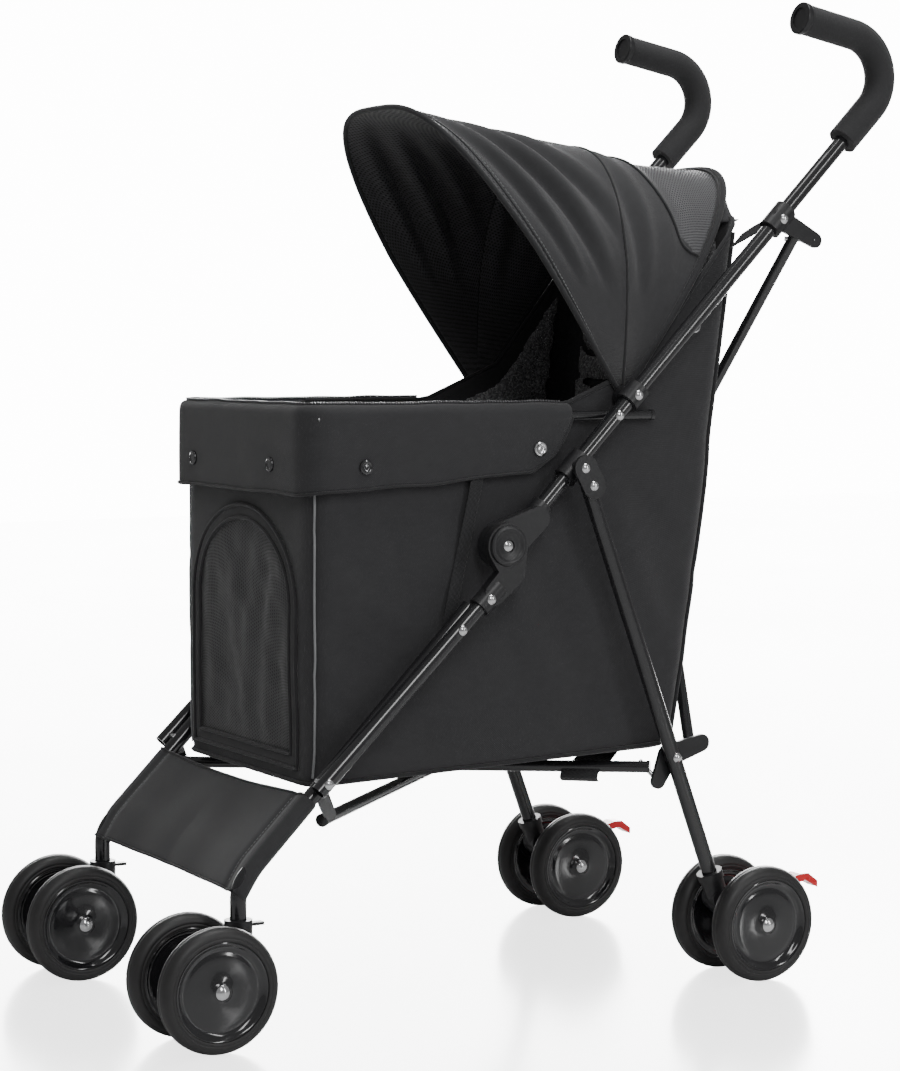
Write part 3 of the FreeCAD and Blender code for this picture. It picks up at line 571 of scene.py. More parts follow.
# %% Hinge caps
HINGE_AT = (319.0, 461.0)
HINGE_FACE = 0.183 + 0.011
cap_model = spun("cap_model", [(6.2, 0.0), (19.6, 0.0), (20.2, 1.0), (19.6, 2.6), (17.6, 3.4),
                               (15.4, 3.2), (14.2, 2.2), (12.8, 1.9), (9.5, 1.9), (8.6, 1.6),
                               (6.2, 1.5)], 64)
for side, label in ((1, "left"), (-1, "right")):
    hinge = spot(0.0, *HINGE_AT)
    hinge.x = side * HINGE_FACE
    turn = Matrix.Identity(4) if side > 0 else Matrix.Rotation(math.pi, 4, "Z")
    hinge_cap = joined_copies(f"hinge_cap_{label}", cap_model, [Matrix.Translation(hinge) @ turn],
                              satin_moulding)
    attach(hinge_cap, f"front_leg_{label}")
bpy.data.objects.remove(cap_model)
print("hinge caps at x =", round(hinge.x, 4))

# %% [markdown]
# ## Making cloth
# A sewn panel starts as a flat grid primitive, whose points are then moved to the panel's
# place, so that its threads still run straight along the cut cloth. Its UVs are close to metres,
# so every weave is close to its true size. Solidify gives it thickness and Subdivision Surface
# rounds its folds.


# %% Sheets, ribbons and pipings
def flat_area(piece):
    return sum(face.area for face in piece.data.polygons)


def longest(place, steps=64, lines=24):
    """The longest run of the cloth in each direction, measured along its own surface."""
    def run(points):
        return sum((b - a).length for a, b in zip(points, points[1:]))
    shares = [i / steps for i in range(steps + 1)]
    across = max(run([place(k, j / lines) for k in shares]) for j in range(lines + 1))
    along = max(run([place(j / lines, k) for k in shares]) for j in range(lines + 1))
    return round(across, 3), round(along, 4)


def declare_sheet(piece, across=None):
    """Say the cloth's flat size: its longest runs, and the area that is left of that rectangle.

    across is the width where the longest run follows an arched edge instead."""
    flat, area = tuple(piece["cut_size"]), round(piece["cut_area"], 5)
    if across:
        flat = (across, flat[1])
    print(piece.name, "flat size", flat, "m, area", area, "m2")


def sewn_sheet(name, across, along, place, size, thick, materials, levels=1, closed=False,
               sink=-1.0, hole=None, core=Vector((0.0, -0.04, 0.45))):
    """A cloth sheet: place(u, v) gives each point, and size, about its width and length in
    metres, scales only its threads.

    hole(u, v) says which of the grid's squares are cut out for a net. The cloth's right side
    faces away from core, and its thickness grows towards it."""
    deselect()
    bpy.ops.mesh.primitive_grid_add(x_subdivisions=across, y_subdivisions=along, size=1.0)
    piece = bpy.context.object
    piece.name = name
    for loop in piece.data.uv_layers[0].data:
        loop.uv = (loop.uv[0] * size[0], loop.uv[1] * size[1])
    if hole:
        build = bmesh.new()
        build.from_mesh(piece.data)
        cut = [f for f in build.faces if hole(*(c + 0.5 for c in f.calc_center_median()[:2]))]
        bmesh.ops.delete(build, geom=cut, context="FACES")
        build.to_mesh(piece.data)
        build.free()
    for vertex in piece.data.vertices:
        vertex.co = place(vertex.co.x + 0.5, vertex.co.y + 0.5)
    if closed:
        bpy.ops.object.mode_set(mode="EDIT")
        bpy.ops.mesh.select_all(action="SELECT")
        bpy.ops.mesh.remove_doubles(threshold=0.0001)
        bpy.ops.object.mode_set(mode="OBJECT")
    piece["cut_area"] = flat_area(piece)
    piece["cut_size"] = longest(place)
    facing = sum(face.area * face.normal.dot((face.center - core).normalized())
                 for face in piece.data.polygons)
    if facing < 0:
        piece.data.flip_normals()
    for material in materials:
        piece.data.materials.append(material)
    thicken = piece.modifiers.new("thickness", "SOLIDIFY")
    thicken.thickness = thick * MM
    thicken.offset = sink
    thicken.material_offset = len(materials) - 1
    thicken.use_even_offset = True
    if levels:
        smooth = piece.modifiers.new("smooth", "SUBSURF")
        smooth.levels = smooth.render_levels = levels
    for modifier in list(piece.modifiers):
        bpy.ops.object.modifier_apply(modifier=modifier.name)
    bpy.ops.object.shade_smooth_by_angle(angle=math.radians(50))
    return piece


def piping(name, points, radius, material, closed=False):
    """A round cord sewn into a seam, along the points."""
    curve = bpy.data.curves.new(name, "CURVE")
    curve.dimensions = "3D"
    curve.bevel_depth = radius * MM
    curve.bevel_resolution = 3
    curve.use_fill_caps = True
    line = curve.splines.new("POLY")
    line.points.add(len(points) - 1)
    for point, target in zip(points, line.points):
        target.co = (*point, 1.0)
    line.use_cyclic_u = closed
    piece = bpy.data.objects.new(name, curve)
    bpy.context.scene.collection.objects.link(piece)
    deselect()
    piece.select_set(True)
    bpy.context.view_layer.objects.active = piece
    bpy.ops.object.convert(target="MESH")
    piece = bpy.context.object
    piece.data.materials.append(material)
    bpy.ops.object.shade_smooth_by_angle(angle=math.radians(50))
    return piece


def ribbon(name, points, across, width, thick, material):
    """Flat webbing along the points; across gives the direction of its width."""
    def place(u, v):
        at = v * (len(points) - 1)
        i = min(int(at), len(points) - 2)
        centre = points[i].lerp(points[i + 1], at - i)
        return centre + Vector(across).normalized() * (u - 0.5) * width * MM
    length = sum((a - b).length for a, b in zip(points, points[1:]))
    return sewn_sheet(name, 6, 4 * len(points), place, (width * MM, length), thick, [material],
                      1, sink=0.0)


def even_points(points, step):
    """Points an even step apart along a line of points, with the line's direction at each."""
    found = []
    wanted = step / 2
    gone = 0.0
    for a, b in zip(points, points[1:]):
        run = (b - a).length
        while run > 0 and gone + run > wanted:
            found.append((a.lerp(b, (wanted - gone) / run), (b - a).normalized()))
            wanted += step
        gone += run
    return found


def row(name, small, points, step, out_of, material):
    """Copies of a small piece along a line, such as stitches or zip teeth."""
    moves = []
    for place, along in even_points(points, step):
        up = out_of(place)
        side = along.cross(up).normalized()
        up = side.cross(along).normalized()
        turn = Matrix((along, side, up)).transposed().to_4x4()
        moves.append(Matrix.Translation(place) @ turn)
    return joined_copies(name, small, moves, material)


def small_block(name, length, width, height, edge):
    """A little bevelled block, for a stitch or a tooth."""
    deselect()
    bpy.ops.mesh.primitive_cube_add(size=1.0)
    block = bpy.context.object
    block.name = name
    for vertex in block.data.vertices:
        vertex.co = (vertex.co.x * length * MM, vertex.co.y * width * MM, vertex.co.z * height * MM)
    bpy.ops.object.mode_set(mode="EDIT")
    bpy.ops.mesh.select_all(action="SELECT")
    bpy.ops.mesh.bevel(offset=edge * MM, segments=1, affect="EDGES")
    bpy.ops.object.mode_set(mode="OBJECT")
    return block


STITCH_STEP, TOOTH_STEP = 0.0042, 0.0031
stitch_model = small_block("stitch_model", 2.6, 0.7, 0.6, 0.2)
tooth_model = small_block("tooth_model", 1.7, 3.4, 1.8, 0.35)

# %% How the cabin's cloth rides
BAG_KEEP, COLLAR_KEEP, HOOD_KEEP = 0.30, 0.355, 0.325


def hang(piece, body="cabin"):
    """The piece rides a body, with a mesh of its own."""
    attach(piece, body)
    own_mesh(piece)
    return piece


def wrinkle(point, scale, depth):
    """Slow uneven waves, the same on every run."""
    return noise.noise(Vector(point) * scale) * depth


print("cloth helpers ready")

# %% [markdown]
# ## The cabin bag
# The bag is one lofted shell: a ring with rounded corners that runs round the cabin, repeated
# from the middle of the floor out to the bottom edge and up to the rim. Its back leans away
# and climbs to the canopy, and its sides belly out a little, as cloth does under its own pull.

# %% The bag's ring and heights
BAG_HALF, BAG_FRONT, BAG_DEPTH, BAG_CORNER = 145.0, 126.0, 504.0, 20.0
RIM_Z, RIM_END_Y = 597.0, 414.0
FRONT_FOOT_Z = 228.0
FRONT_HEIGHT = RIM_Z - FRONT_FOOT_Z
CANOPY_EDGE = (505.6, 635.5)
BACK_TOP = (630.0, 790.0)


def ring_place(s):
    """The ring at share s, from the middle of the back, round the left side to the front."""
    straight_back = BAG_HALF - BAG_CORNER
    straight_side = BAG_DEPTH - 2 * BAG_CORNER
    arc = BAG_CORNER * math.pi / 2
    lengths = [straight_back, arc, straight_side, arc, 2 * straight_back, arc, straight_side,
               arc, straight_back]
    at = (s % 1.0) * sum(lengths)
    corner = 0
    for corner, length in enumerate(lengths):
        if at <= length:
            break
        at -= length
    near, far, wide = BAG_CORNER, BAG_DEPTH - BAG_CORNER, straight_back
    turn = at / BAG_CORNER
    if corner == 0:
        return at, BAG_DEPTH
    if corner == 1:
        return wide + near * math.sin(turn), far + near * math.cos(turn)
    if corner == 2:
        return BAG_HALF, far - at
    if corner == 3:
        return wide + near * math.cos(turn), near - near * math.sin(turn)
    if corner == 4:
        return wide - at, 0.0
    if corner == 5:
        return -wide - near * math.sin(turn), near - near * math.cos(turn)
    if corner == 6:
        return -BAG_HALF, near + at
    if corner == 7:
        return -wide - near * math.cos(turn), far + near * math.sin(turn)
    return -wide + at, BAG_DEPTH


def between(value, table):
    """Straight-line reading of a table of (input, output) pairs."""
    for (a, fa), (b, fb) in zip(table, table[1:]):
        if value <= b:
            return fa + (fb - fa) * max(0.0, value - a) / (b - a)
    return table[-1][1]


def rim_height(y):
    return between(y, [(BAG_FRONT, RIM_Z), (RIM_END_Y, RIM_Z), CANOPY_EDGE, BACK_TOP])


def bag_place(x, depth, v, out=0.0):
    """A place on the bag's wall: v is 0 at the floor and 1 at the rim."""
    back_y = between(240.0 + 550.0 * v, [(240.0, 546.0), (400.0, 574.0), (790.0, 630.0)])
    y = BAG_FRONT + depth * (back_y - BAG_FRONT) / BAG_DEPTH
    low = FRONT_FOOT_Z + 12.0 * depth / BAG_DEPTH
    z = low + (rim_height(BAG_FRONT + depth) - low) * v
    belly = math.sin(math.pi * min(1.0, v / 0.86)) if v < 0.86 else 0.0
    side_share = min(1.0, abs(x) / BAG_HALF) ** 6
    length_share = math.sin(math.pi * min(1.0, max(0.0, depth / BAG_DEPTH)))
    pull = (wrinkle((x * 0.2, y, z), 0.011, 6.0)
            + wrinkle((x * 0.2, 0.25 * y + 0.3 * z, 0.5 * z + 1.1 * y), 0.020, 4.5))
    lie = noise.noise(Vector((x * 0.2, 0.8 * y + 0.5 * z, 0.3 * z)) * 0.0105)
    pull -= 3.2 * max(0.0, 1.0 - 7.0 * abs(lie)) ** 1.5
    widen = 7.0 * between(z, [(232.0, 0.0), (262.0, 1.0), (538.0, 1.0), (570.0, 0.0), (571.0, 0.0)])
    puff = (1.5 * length_share + pull) * belly * side_share + widen * side_share
    x += math.copysign(puff + out * side_share, x)
    if depth < 1.0:
        y -= (1.5 + wrinkle((x, 9.0, z), 0.012, 2.5)) * belly * (1 - side_share) + out
    if depth > BAG_DEPTH - 1.0:
        y += (3.0 + wrinkle((x, 70.0, z), 0.010, 5.0)) * belly * (1 - side_share) + out
    return spot(x, y, z)


# %% The bag's shell
FLOOR_ROWS, WALL_ROWS = 8, 40


def bag_shell_place(u, v):
    level = v * (FLOOR_ROWS + WALL_ROWS)
    x, depth = ring_place(u)
    if level >= FLOOR_ROWS:
        return bag_place(x, depth, (level - FLOOR_ROWS) / WALL_ROWS)
    share = level / FLOOR_ROWS
    edge = bag_place(x, depth, 0.0)
    centre = spot(0.0, 336.0, 234.5)
    inner = centre.lerp(edge, share)
    spine = spot(0.0, BAG_FRONT + 60.0 + 300.0 * depth / BAG_DEPTH, 234.0)
    return spine.lerp(edge, share) if share > 0.01 else spine.lerp(inner, 0.02)


DOOR_HALF, DOOR_FOOT, DOOR_SPRING, DOOR_TOP = 112.0, 252.0, 398.0, 491.0


def in_door(x, z, grow=0.0):
    """Whether a place on the front wall lies in the arched door, made larger by grow."""
    half = DOOR_HALF + grow
    if abs(x) > half or z < DOOR_FOOT - grow:
        return False
    rise = (DOOR_TOP - DOOR_SPRING + grow) * math.sqrt(1.0 - (x / half) ** 2)
    return z < DOOR_SPRING + rise


def door_hole(u, v):
    x, depth = ring_place(u)
    level = v * (FLOOR_ROWS + WALL_ROWS) - FLOOR_ROWS
    return depth < 1.0 and level > 0 and in_door(
        x, FRONT_FOOT_Z + FRONT_HEIGHT * level / WALL_ROWS, -4.0)


bag = sewn_sheet("cabin_shell", 160, FLOOR_ROWS + WALL_ROWS, bag_shell_place, (1.565, 0.62), 2.4,
                 [bag_cloth], 1, closed=True, hole=door_hole)
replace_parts(hang(bag), "cabin_bag")
declare_sheet(bag)
print("cabin shell:", len(bag.data.polygons), "faces, cloth area", round(bag["cut_area"], 3), "m2")

# %% [markdown]
# The front wall has an arched net door, so that air reaches the animal. The net lies on the
# wall over a cut-out, and a tape between two pipings hides the raw edge, as on the real bag.


# %% The net door and its binding
def front_place(x, z, out):
    return bag_place(x, 0.0, (z - FRONT_FOOT_Z) / FRONT_HEIGHT, out)


def arch_line(grow, count=56):
    """The door's outline, up one side, over the arch and down the other, closed by its foot."""
    half, foot = DOOR_HALF + grow, DOOR_FOOT - grow
    line = [(-half, foot + (DOOR_SPRING - foot) * i / 14) for i in range(14)]
    rise = DOOR_TOP - DOOR_SPRING + grow
    for i in range(count + 1):
        turn = math.pi * i / count
        line.append((-half * math.cos(turn), DOOR_SPRING + rise * math.sin(turn)))
    line += [(half, DOOR_SPRING - (DOOR_SPRING - foot) * i / 14) for i in range(1, 15)]
    line += [(half - 2.0 * half * i / 24, foot) for i in range(1, 24)]
    return line


def door_place(u, v):
    x = (u - 0.5) * 2.0 * (DOOR_HALF + 3.0)
    arch = math.sqrt(max(0.0, 1.0 - (2.0 * u - 1.0) ** 2))
    top = DOOR_SPRING + (DOOR_TOP - DOOR_SPRING + 3.0) * arch
    z = DOOR_FOOT - 3.0 + (top - DOOR_FOOT + 3.0) * v
    slack = min(1.0, 6.0 * min(u, 1.0 - u, v, 1.0 - v))
    ruck = wrinkle((x, 7.0, 0.45 * z), 0.030, 5.0) + wrinkle((x + 0.6 * z, 3.0, z), 0.045, 2.0)
    return front_place(x, z, -0.6 + ruck * slack)


door = sewn_sheet("door_net", 40, 36, door_place, (0.230, 0.245), 0.8, [door_net], 0)
hang(door)
declare_sheet(door, round(2.0 * (DOOR_HALF + 3.0) * MM, 4))
outer_line, inner_line = arch_line(5.5), arch_line(-5.5)


def door_tape_place(u, v):
    i = round(v * len(outer_line)) % len(outer_line)
    (xa, za), (xb, zb) = inner_line[i], outer_line[i]
    return front_place(xa + (xb - xa) * u, za + (zb - za) * u, 1.2)


tape = sewn_sheet("door_tape", 3, len(outer_line), door_tape_place, (0.011, 0.85), 1.0,
                  [binding_cloth], 1, closed=True)
hang(tape)
for name, grow in (("door_piping_outer", 6.5), ("door_piping_inner", -6.5)):
    line = [front_place(x, z, 1.6) for x, z in arch_line(grow)]
    hang(piping(name, line, 1.9, binding_cloth, closed=True))
print("door: net, tape and two pipings")


# %% Seams of the bag
def corner_line(front, side, out, low=0.01, high=0.985, count=36):
    """The line of a corner seam, from the floor to the rim."""
    x = side * (BAG_HALF - BAG_CORNER * 0.293)
    depth = BAG_CORNER * 0.293 if front else BAG_DEPTH - BAG_CORNER * 0.293
    push = Vector((side, -1.0 if front else 1.0, 0.0)) * out * MM
    return [bag_place(x, depth, low + (high - low) * i / count) + push for i in range(count + 1)]


for side, label in ((1, "left"), (-1, "right")):
    line = corner_line(True, side, 0.4, 0.03, 0.84)
    hang(piping(f"front_piping_{label}", line, 1.25, pale_piping))
    hang(piping(f"back_piping_{label}", corner_line(False, side, 0.8), 2.2, binding_cloth))
SEAM_STEPS = 150
floor_seam = []
for i in range(SEAM_STEPS):
    x, depth = ring_place(i / SEAM_STEPS)
    floor_seam.append(bag_place(x, depth, 0.012, 0.8))
hang(piping("floor_piping", floor_seam, 2.0, binding_cloth, closed=True))
rim_seam = []
for i in range(-46, 47):
    x, depth = ring_place(i / SEAM_STEPS * 1.05)
    rim_seam.append(bag_place(x, depth, 1.0) + Vector((0, 0, 0.0006)))
hang(piping("rim_piping", rim_seam, 2.4, binding_cloth))
print("seams: front, back, floor and rim pipings")

# %% [markdown]
# ## Plush pads
# The floor pad and the linings are stuffed with thin wadding. Each starts a little too thin.
# Its skin is remeshed evenly, and a short cloth simulation blows it up like the real quilting,
# with a cap on how far a point may move. The curls of the pile come last, as small bumps.


# %% Puffing a pad
def puffed(piece, cap, pressure=4.0, voxel=0.0055):
    """Swells a closed pad by a cloth simulation of 20 frames, at most cap metres."""
    deselect()
    piece.select_set(True)
    bpy.context.view_layer.objects.active = piece
    remesh = piece.modifiers.new("even_skin", "REMESH")
    remesh.mode = "VOXEL"
    remesh.voxel_size = voxel
    bpy.ops.object.modifier_apply(modifier=remesh.name)
    scene = bpy.context.scene
    start = [vertex.co.copy() for vertex in piece.data.vertices]
    cloth = piece.modifiers.new("cloth", "CLOTH")
    cloth.settings.quality = 5
    cloth.settings.mass = 0.25
    cloth.settings.use_pressure = True
    cloth.settings.uniform_pressure_force = pressure
    cloth.settings.effector_weights.gravity = 0.0
    cloth.point_cache.frame_start, cloth.point_cache.frame_end = 1, 20
    for step in range(1, 21):
        scene.frame_set(step)
    swollen = piece.evaluated_get(bpy.context.evaluated_depsgraph_get())
    moved = [vertex.co.copy() for vertex in swollen.data.vertices]
    piece.modifiers.remove(cloth)
    scene.frame_set(1)
    for vertex, before, after in zip(piece.data.vertices, start, moved):
        move = after - before
        vertex.co = before + move * min(1.0, cap / max(move.length, 1e-9))
    smooth = piece.modifiers.new("smooth", "SUBSURF")
    smooth.levels = smooth.render_levels = 1
    bpy.ops.object.modifier_apply(modifier=smooth.name)
    normals = [vertex.normal.copy() for vertex in piece.data.vertices]
    for vertex, normal in zip(piece.data.vertices, normals):
        curl = noise.noise(vertex.co * 210.0) + 0.5 * noise.noise(vertex.co * 430.0)
        vertex.co += normal * curl * 0.0011
    piece.data.materials.clear()
    piece.data.materials.append(plush)
    bpy.ops.object.shade_smooth()
    return piece


# %% Floor pad and linings
PAD_GRID = 40


def quilt_dip(u, v, rows):
    """How far a sewn channel pulls the skin in, from 0 to 1."""
    off_line = 0.5 - abs((v * rows) % 1.0 - 0.5)
    edge = min(u, 1.0 - u, v, 1.0 - v)
    return max(math.exp(-(off_line / 0.045) ** 2) * (1 if 0.06 < v < 0.94 else 0),
               math.exp(-(edge / 0.03) ** 2))


def pad_sheet(name, place, thick, size):
    return sewn_sheet(name, PAD_GRID, PAD_GRID, place, size, thick, [plush], 0)


def floor_pad_place(u, v):
    x = (u - 0.5) * 2.0 * 132.0
    y = 138.0 + 392.0 * v
    return spot(x, y, FRONT_FOOT_Z + 12.0 * (y - 126.0) / 420.0 + 14.5 - 3.0 * quilt_dip(u, v, 4))


pad = pad_sheet("floor_cushion", floor_pad_place, 9.5, (0.264, 0.392))
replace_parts(hang(puffed(pad, 0.006)), "floor_pad")


def side_lining(side):
    def place(u, v):
        depth = 24.0 + 440.0 * u
        top = 0.975 if depth < 288.0 else 0.955
        point = bag_place(side * BAG_HALF, depth, 0.085 + (top - 0.085) * v)
        return point - Vector((side * (4.6 + 1.0 * quilt_dip(u, v, 1)) * MM, 0, 0))
    return place


def back_lining_place(u, v):
    point = bag_place((u - 0.5) * 2.0 * 122.0, BAG_DEPTH, 0.09 + 0.88 * v)
    return point - Vector((0, (5.5 + 2.0 * quilt_dip(u, v, 3)) * MM, 0))


for side, label in ((1, "left"), (-1, "right")):
    lining = pad_sheet(f"side_lining_{label}", side_lining(side), 3.6, (0.44, 0.35))
    hang(puffed(lining, 0.003, 2.0))
lining = pad_sheet("back_lining", back_lining_place, 5.0, (0.244, 0.49))
hang(puffed(lining, 0.005, 3.0))
print("pads: floor cushion, two side linings and a back lining")

# %% [markdown]
# ## The collar
# The zip flap is turned down outside the rim. It is one strip that runs round three sides,
# rolls over the rim arms and hangs free, so its lower edge waves a little. The zip's teeth
# stand on its top edge, and snaps hold it down.

# %% The collar's strip
COLLAR_CORNER = 30.0
COLLAR_FOOT = [(115.0, 514.0), (137.0, 516.0), (275.0, 524.0), (367.0, 532.0), (392.0, 548.0),
               (406.0, 566.0), (414.0, 584.0)]


def collar_track(s, off):
    """Round the front from the left rear (s 0) to the right rear (s 1), off outside the rim."""
    half, front, corner = BAG_HALF + off, BAG_FRONT - off * 0.66, COLLAR_CORNER * 0.6 + off * 0.7
    side_run = RIM_END_Y - front - corner
    arc = corner * math.pi / 2
    lengths = [side_run, arc, 2 * (half - corner), arc, side_run]
    at = s * sum(lengths)
    if at <= lengths[0]:
        return half, RIM_END_Y - at
    at -= lengths[0]
    if at <= arc:
        turn = at / corner
        return half - corner + corner * math.cos(turn), front + corner - corner * math.sin(turn)
    at -= arc
    if at <= lengths[2]:
        return half - corner - at, front
    at -= lengths[2]
    if at <= arc:
        turn = at / corner
        return -half + corner - corner * math.sin(turn), front + corner - corner * math.cos(turn)
    return -half, front + corner + at - arc


COLLAR_SECTION = [(0.0, 0.0, 595.0), (0.06, 1.5, 598.5), (0.13, 6.5, 600.0), (0.20, 12.5, 598.0),
                  (0.27, 15.4, 593.0), (0.36, 15.8, 585.0)]


def collar_place(u, v):
    if v <= 0.36:
        off = between(v, [(a, b) for a, b, _ in COLLAR_SECTION])
        z = between(v, [(a, c) for a, _, c in COLLAR_SECTION])
        x, y = collar_track(u, off)
    else:
        down = (v - 0.36) / 0.64
        off = 15.8 + 0.6 * math.sin(down * math.pi)
        x, y = collar_track(u, off)
        foot = between(y, COLLAR_FOOT)
        z = 585.0 + (foot - 585.0) * down
        wave = (wrinkle((x, y, 0.4 * z), 0.021, 1.3) * down
                + 0.8 * math.sin(y * 0.05) * down * (1 - down))
        if abs(x) > BAG_HALF:
            x += math.copysign(max(wave, -0.8), x)
        else:
            y -= wave
        z += wrinkle((x, y, 0.0), 0.018, 2.0) * down
    z += wrinkle((x, y, 40.0), 0.025, 1.2) * (1.0 if v < 0.3 else 0.0)
    return spot(x, y, z)


collar = sewn_sheet("zip_collar", 130, 22, collar_place, (0.88, 0.125), 1.6, [bag_cloth], 1)
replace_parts(hang(collar), "bag_collar")
declare_sheet(collar)
foot_edge = [collar_place(i / 160, 1.0) for i in range(161)]
hang(piping("collar_hem", foot_edge, 1.5, binding_cloth))
zip_line = [collar_place(0.01 + 0.98 * i / 200, 0.10) + Vector((0, 0, 0.0021)) for i in range(201)]
tape_line = [p - Vector((0, 0, 0.0021)) for p in zip_line]
hang(piping("zip_tape", tape_line, 1.5, binding_cloth))
teeth = row("zip_teeth", tooth_model, zip_line, TOOTH_STEP, lambda p: Vector((0, 0, 1)), zip_metal)
hang(teeth)
print("collar strip", len(collar.data.polygons), "faces,", len(teeth.data.polygons), "tooth faces")

# %% Snaps on the collar and the side
snap_model = spun("snap_model", [(0.0, -0.6), (7.2, -0.6), (7.4, 0.7), (6.9, 1.6), (5.6, 2.0),
                                 (4.8, 1.3), (3.4, 1.0), (2.0, 1.1), (0.0, 1.2)], 32)
TO_LEFT = Matrix.Identity(4)
TO_RIGHT = Matrix.Rotation(math.pi, 4, "Z")
TO_FRONT = Matrix.Rotation(-math.pi / 2, 4, "Z")
SNAP_OUT = 17.6
side_moves, front_moves, rear_moves = [], [], []
for y, z, moves in ((178.6, 540.0, side_moves), (374.5, 554.0, rear_moves)):
    moves.append(Matrix.Translation(spot(BAG_HALF + SNAP_OUT, y, z)) @ TO_LEFT)
    moves.append(Matrix.Translation(spot(-BAG_HALF - SNAP_OUT, y, z)) @ TO_RIGHT)
for x in (-100.0, 82.0):
    front_moves.append(Matrix.Translation(spot(x, 115.0, 541.0)) @ TO_FRONT)
hang(joined_copies("collar_snaps", snap_model, side_moves + front_moves, dark_snap))
hang(joined_copies("rear_snaps", snap_model, rear_moves, bright_rivet))
high_snaps = []
for side, turn in ((1, TO_LEFT), (-1, TO_RIGHT)):
    middle = bag_place(side * BAG_HALF, 452.0, 0.90) + Vector((side * 0.001, 0, 0))
    high_snaps.append(Matrix.Translation(middle) @ turn)
hang(joined_copies("side_snaps", snap_model, high_snaps, bright_rivet))
print("snaps:", len(side_moves + rear_moves + front_moves + high_snaps))

# %% [markdown]
# ## The canopy
# The canopy is cloth stretched over hoops that all meet at the clamps beside the cabin. Each
# hoop is an arch with a flat top and round shoulders. The front hoop is tall and leans
# forward, and the top line sags behind it. Between two hoops the cloth is one curved sheet,
# with creases that run down to the clamp. The inside is lined with a coarse net.

# %% Hoops
CLAMP_Y, CLAMP_Z = 481.0, 604.0
HOOP_FOOT, HOOP_FOOT_HALF = 10.0, 148.0
FRONT_HOOP = (125.0, 163.0, 360.0)
MIDDLE_HOOP = (88.0, 158.5, 262.0)
REAR_HOOP = (54.0, 154.0, 300.0)


def hoop(angle, half, top, t):
    """A place on a hoop: t runs from 0 at the left clamp over the top to pi at the right."""
    cosine = math.cos(t)
    side = math.copysign(abs(cosine) ** 0.62, cosine)
    rise = max(0.0, math.sin(t)) ** 0.8
    wide = HOOP_FOOT_HALF + (half - HOOP_FOOT_HALF) * min(1.0, rise * 2.0)
    radius = HOOP_FOOT + (top - HOOP_FOOT) * rise
    turn = math.radians(angle)
    return Vector((wide * side, CLAMP_Y + radius * math.cos(turn),
                   CLAMP_Z + radius * math.sin(turn)))


def outward(t, angle):
    """The way out of the canopy at a place on a hoop."""
    turn = math.radians(angle)
    across, up = math.cos(t), math.sin(t) ** 0.7
    return Vector((across, up * math.cos(turn), up * math.sin(turn))).normalized()


def crease(w, t, start, lean, width, low=0.10, high=0.46):
    """A fold that starts at share start between the hoops and leans as it climbs."""
    climb = min(t, math.pi - t) / math.pi
    if not low < climb < high:
        return 0.0
    fade_out = math.sin(math.pi * (climb - low) / (high - low)) ** 0.7
    gap = (w - start + lean * (climb - low)) / width
    return math.exp(-gap * gap) * fade_out


def hood_place(first, second, w, t, out=0.0, creases=()):
    a, b = hoop(*first, t), hoop(*second, t)
    angle = first[0] + (second[0] - first[0]) * w
    rise = max(0.0, math.sin(t)) ** 0.8
    tension = -7.0 * math.sin(math.pi * w) * rise * (1.0 if second is REAR_HOOP else 0.25)
    free = math.sin(math.pi * min(1.0, max(0.0, w))) ** 0.5
    folds = free * sum(depth * crease(w, t, *shape) for depth, shape in creases)
    ripple = wrinkle(a.lerp(b, w), 0.013, 2.4) * math.sin(math.pi * w) * min(1.0, 2.0 * rise)
    spread = (tension + folds + ripple + out) * min(1.0, 6.0 * rise + 0.02)
    point = a.lerp(b, w) + outward(t, angle) * spread
    return spot(*point)


FRONT_CREASES = ((-9.0, (0.34, 0.9, 0.050)), (7.0, (0.46, 0.9, 0.06)),
                 (-11.0, (0.72, 1.5, 0.055)), (7.0, (0.86, 1.5, 0.07)),
                 (-9.0, (1.12, 2.1, 0.055)), (6.0, (1.26, 2.1, 0.07)))
REAR_CREASES = ((-8.0, (0.25, 1.1, 0.07)), (6.0, (0.40, 1.1, 0.09)), (-6.0, (0.85, 1.3, 0.08)))


# %% The window in the canopy's rear
def window_front(t):
    """Where the window's front edge lies between the middle hoop and the rear one."""
    share = (t / math.pi - 0.17) / 0.66
    return 0.93 - 0.66 * math.sin(math.pi * share) ** 0.55 if 0.0 < share < 1.0 else 1.0


def window_hole(u, v):
    return window_front(u * math.pi) + 0.05 < v < 0.93


def front_hood_place(u, v):
    return hood_place(FRONT_HOOP, MIDDLE_HOOP, v, u * math.pi, 0.0, FRONT_CREASES)


def rear_hood_place(u, v):
    return hood_place(MIDDLE_HOOP, REAR_HOOP, v, u * math.pi, 0.0, REAR_CREASES)


# %% The canopy's two sheets
def on_canopy(piece, body="cabin"):
    return hang(piece, body)


front_hood = sewn_sheet("hood_front", 96, 26, front_hood_place, (0.86, 0.20), 2.0,
                        [hood_cloth, lining_net], 1)
for face in front_hood.data.polygons:
    centre = face.center
    angle = math.degrees(math.atan2(centre.z - CLAMP_Z * MM, centre.y - spot(0, CLAMP_Y, 0).y))
    if angle > 122.6:
        face.material_index = 1
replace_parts(on_canopy(front_hood, "canopy_hood"), "canopy_front")
declare_sheet(front_hood)
rear_hood = sewn_sheet("hood_rear", 96, 20, rear_hood_place, (0.82, 0.17), 2.0,
                       [hood_cloth, lining_net], 1, hole=window_hole)
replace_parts(on_canopy(rear_hood), "canopy_rear")
declare_sheet(rear_hood)


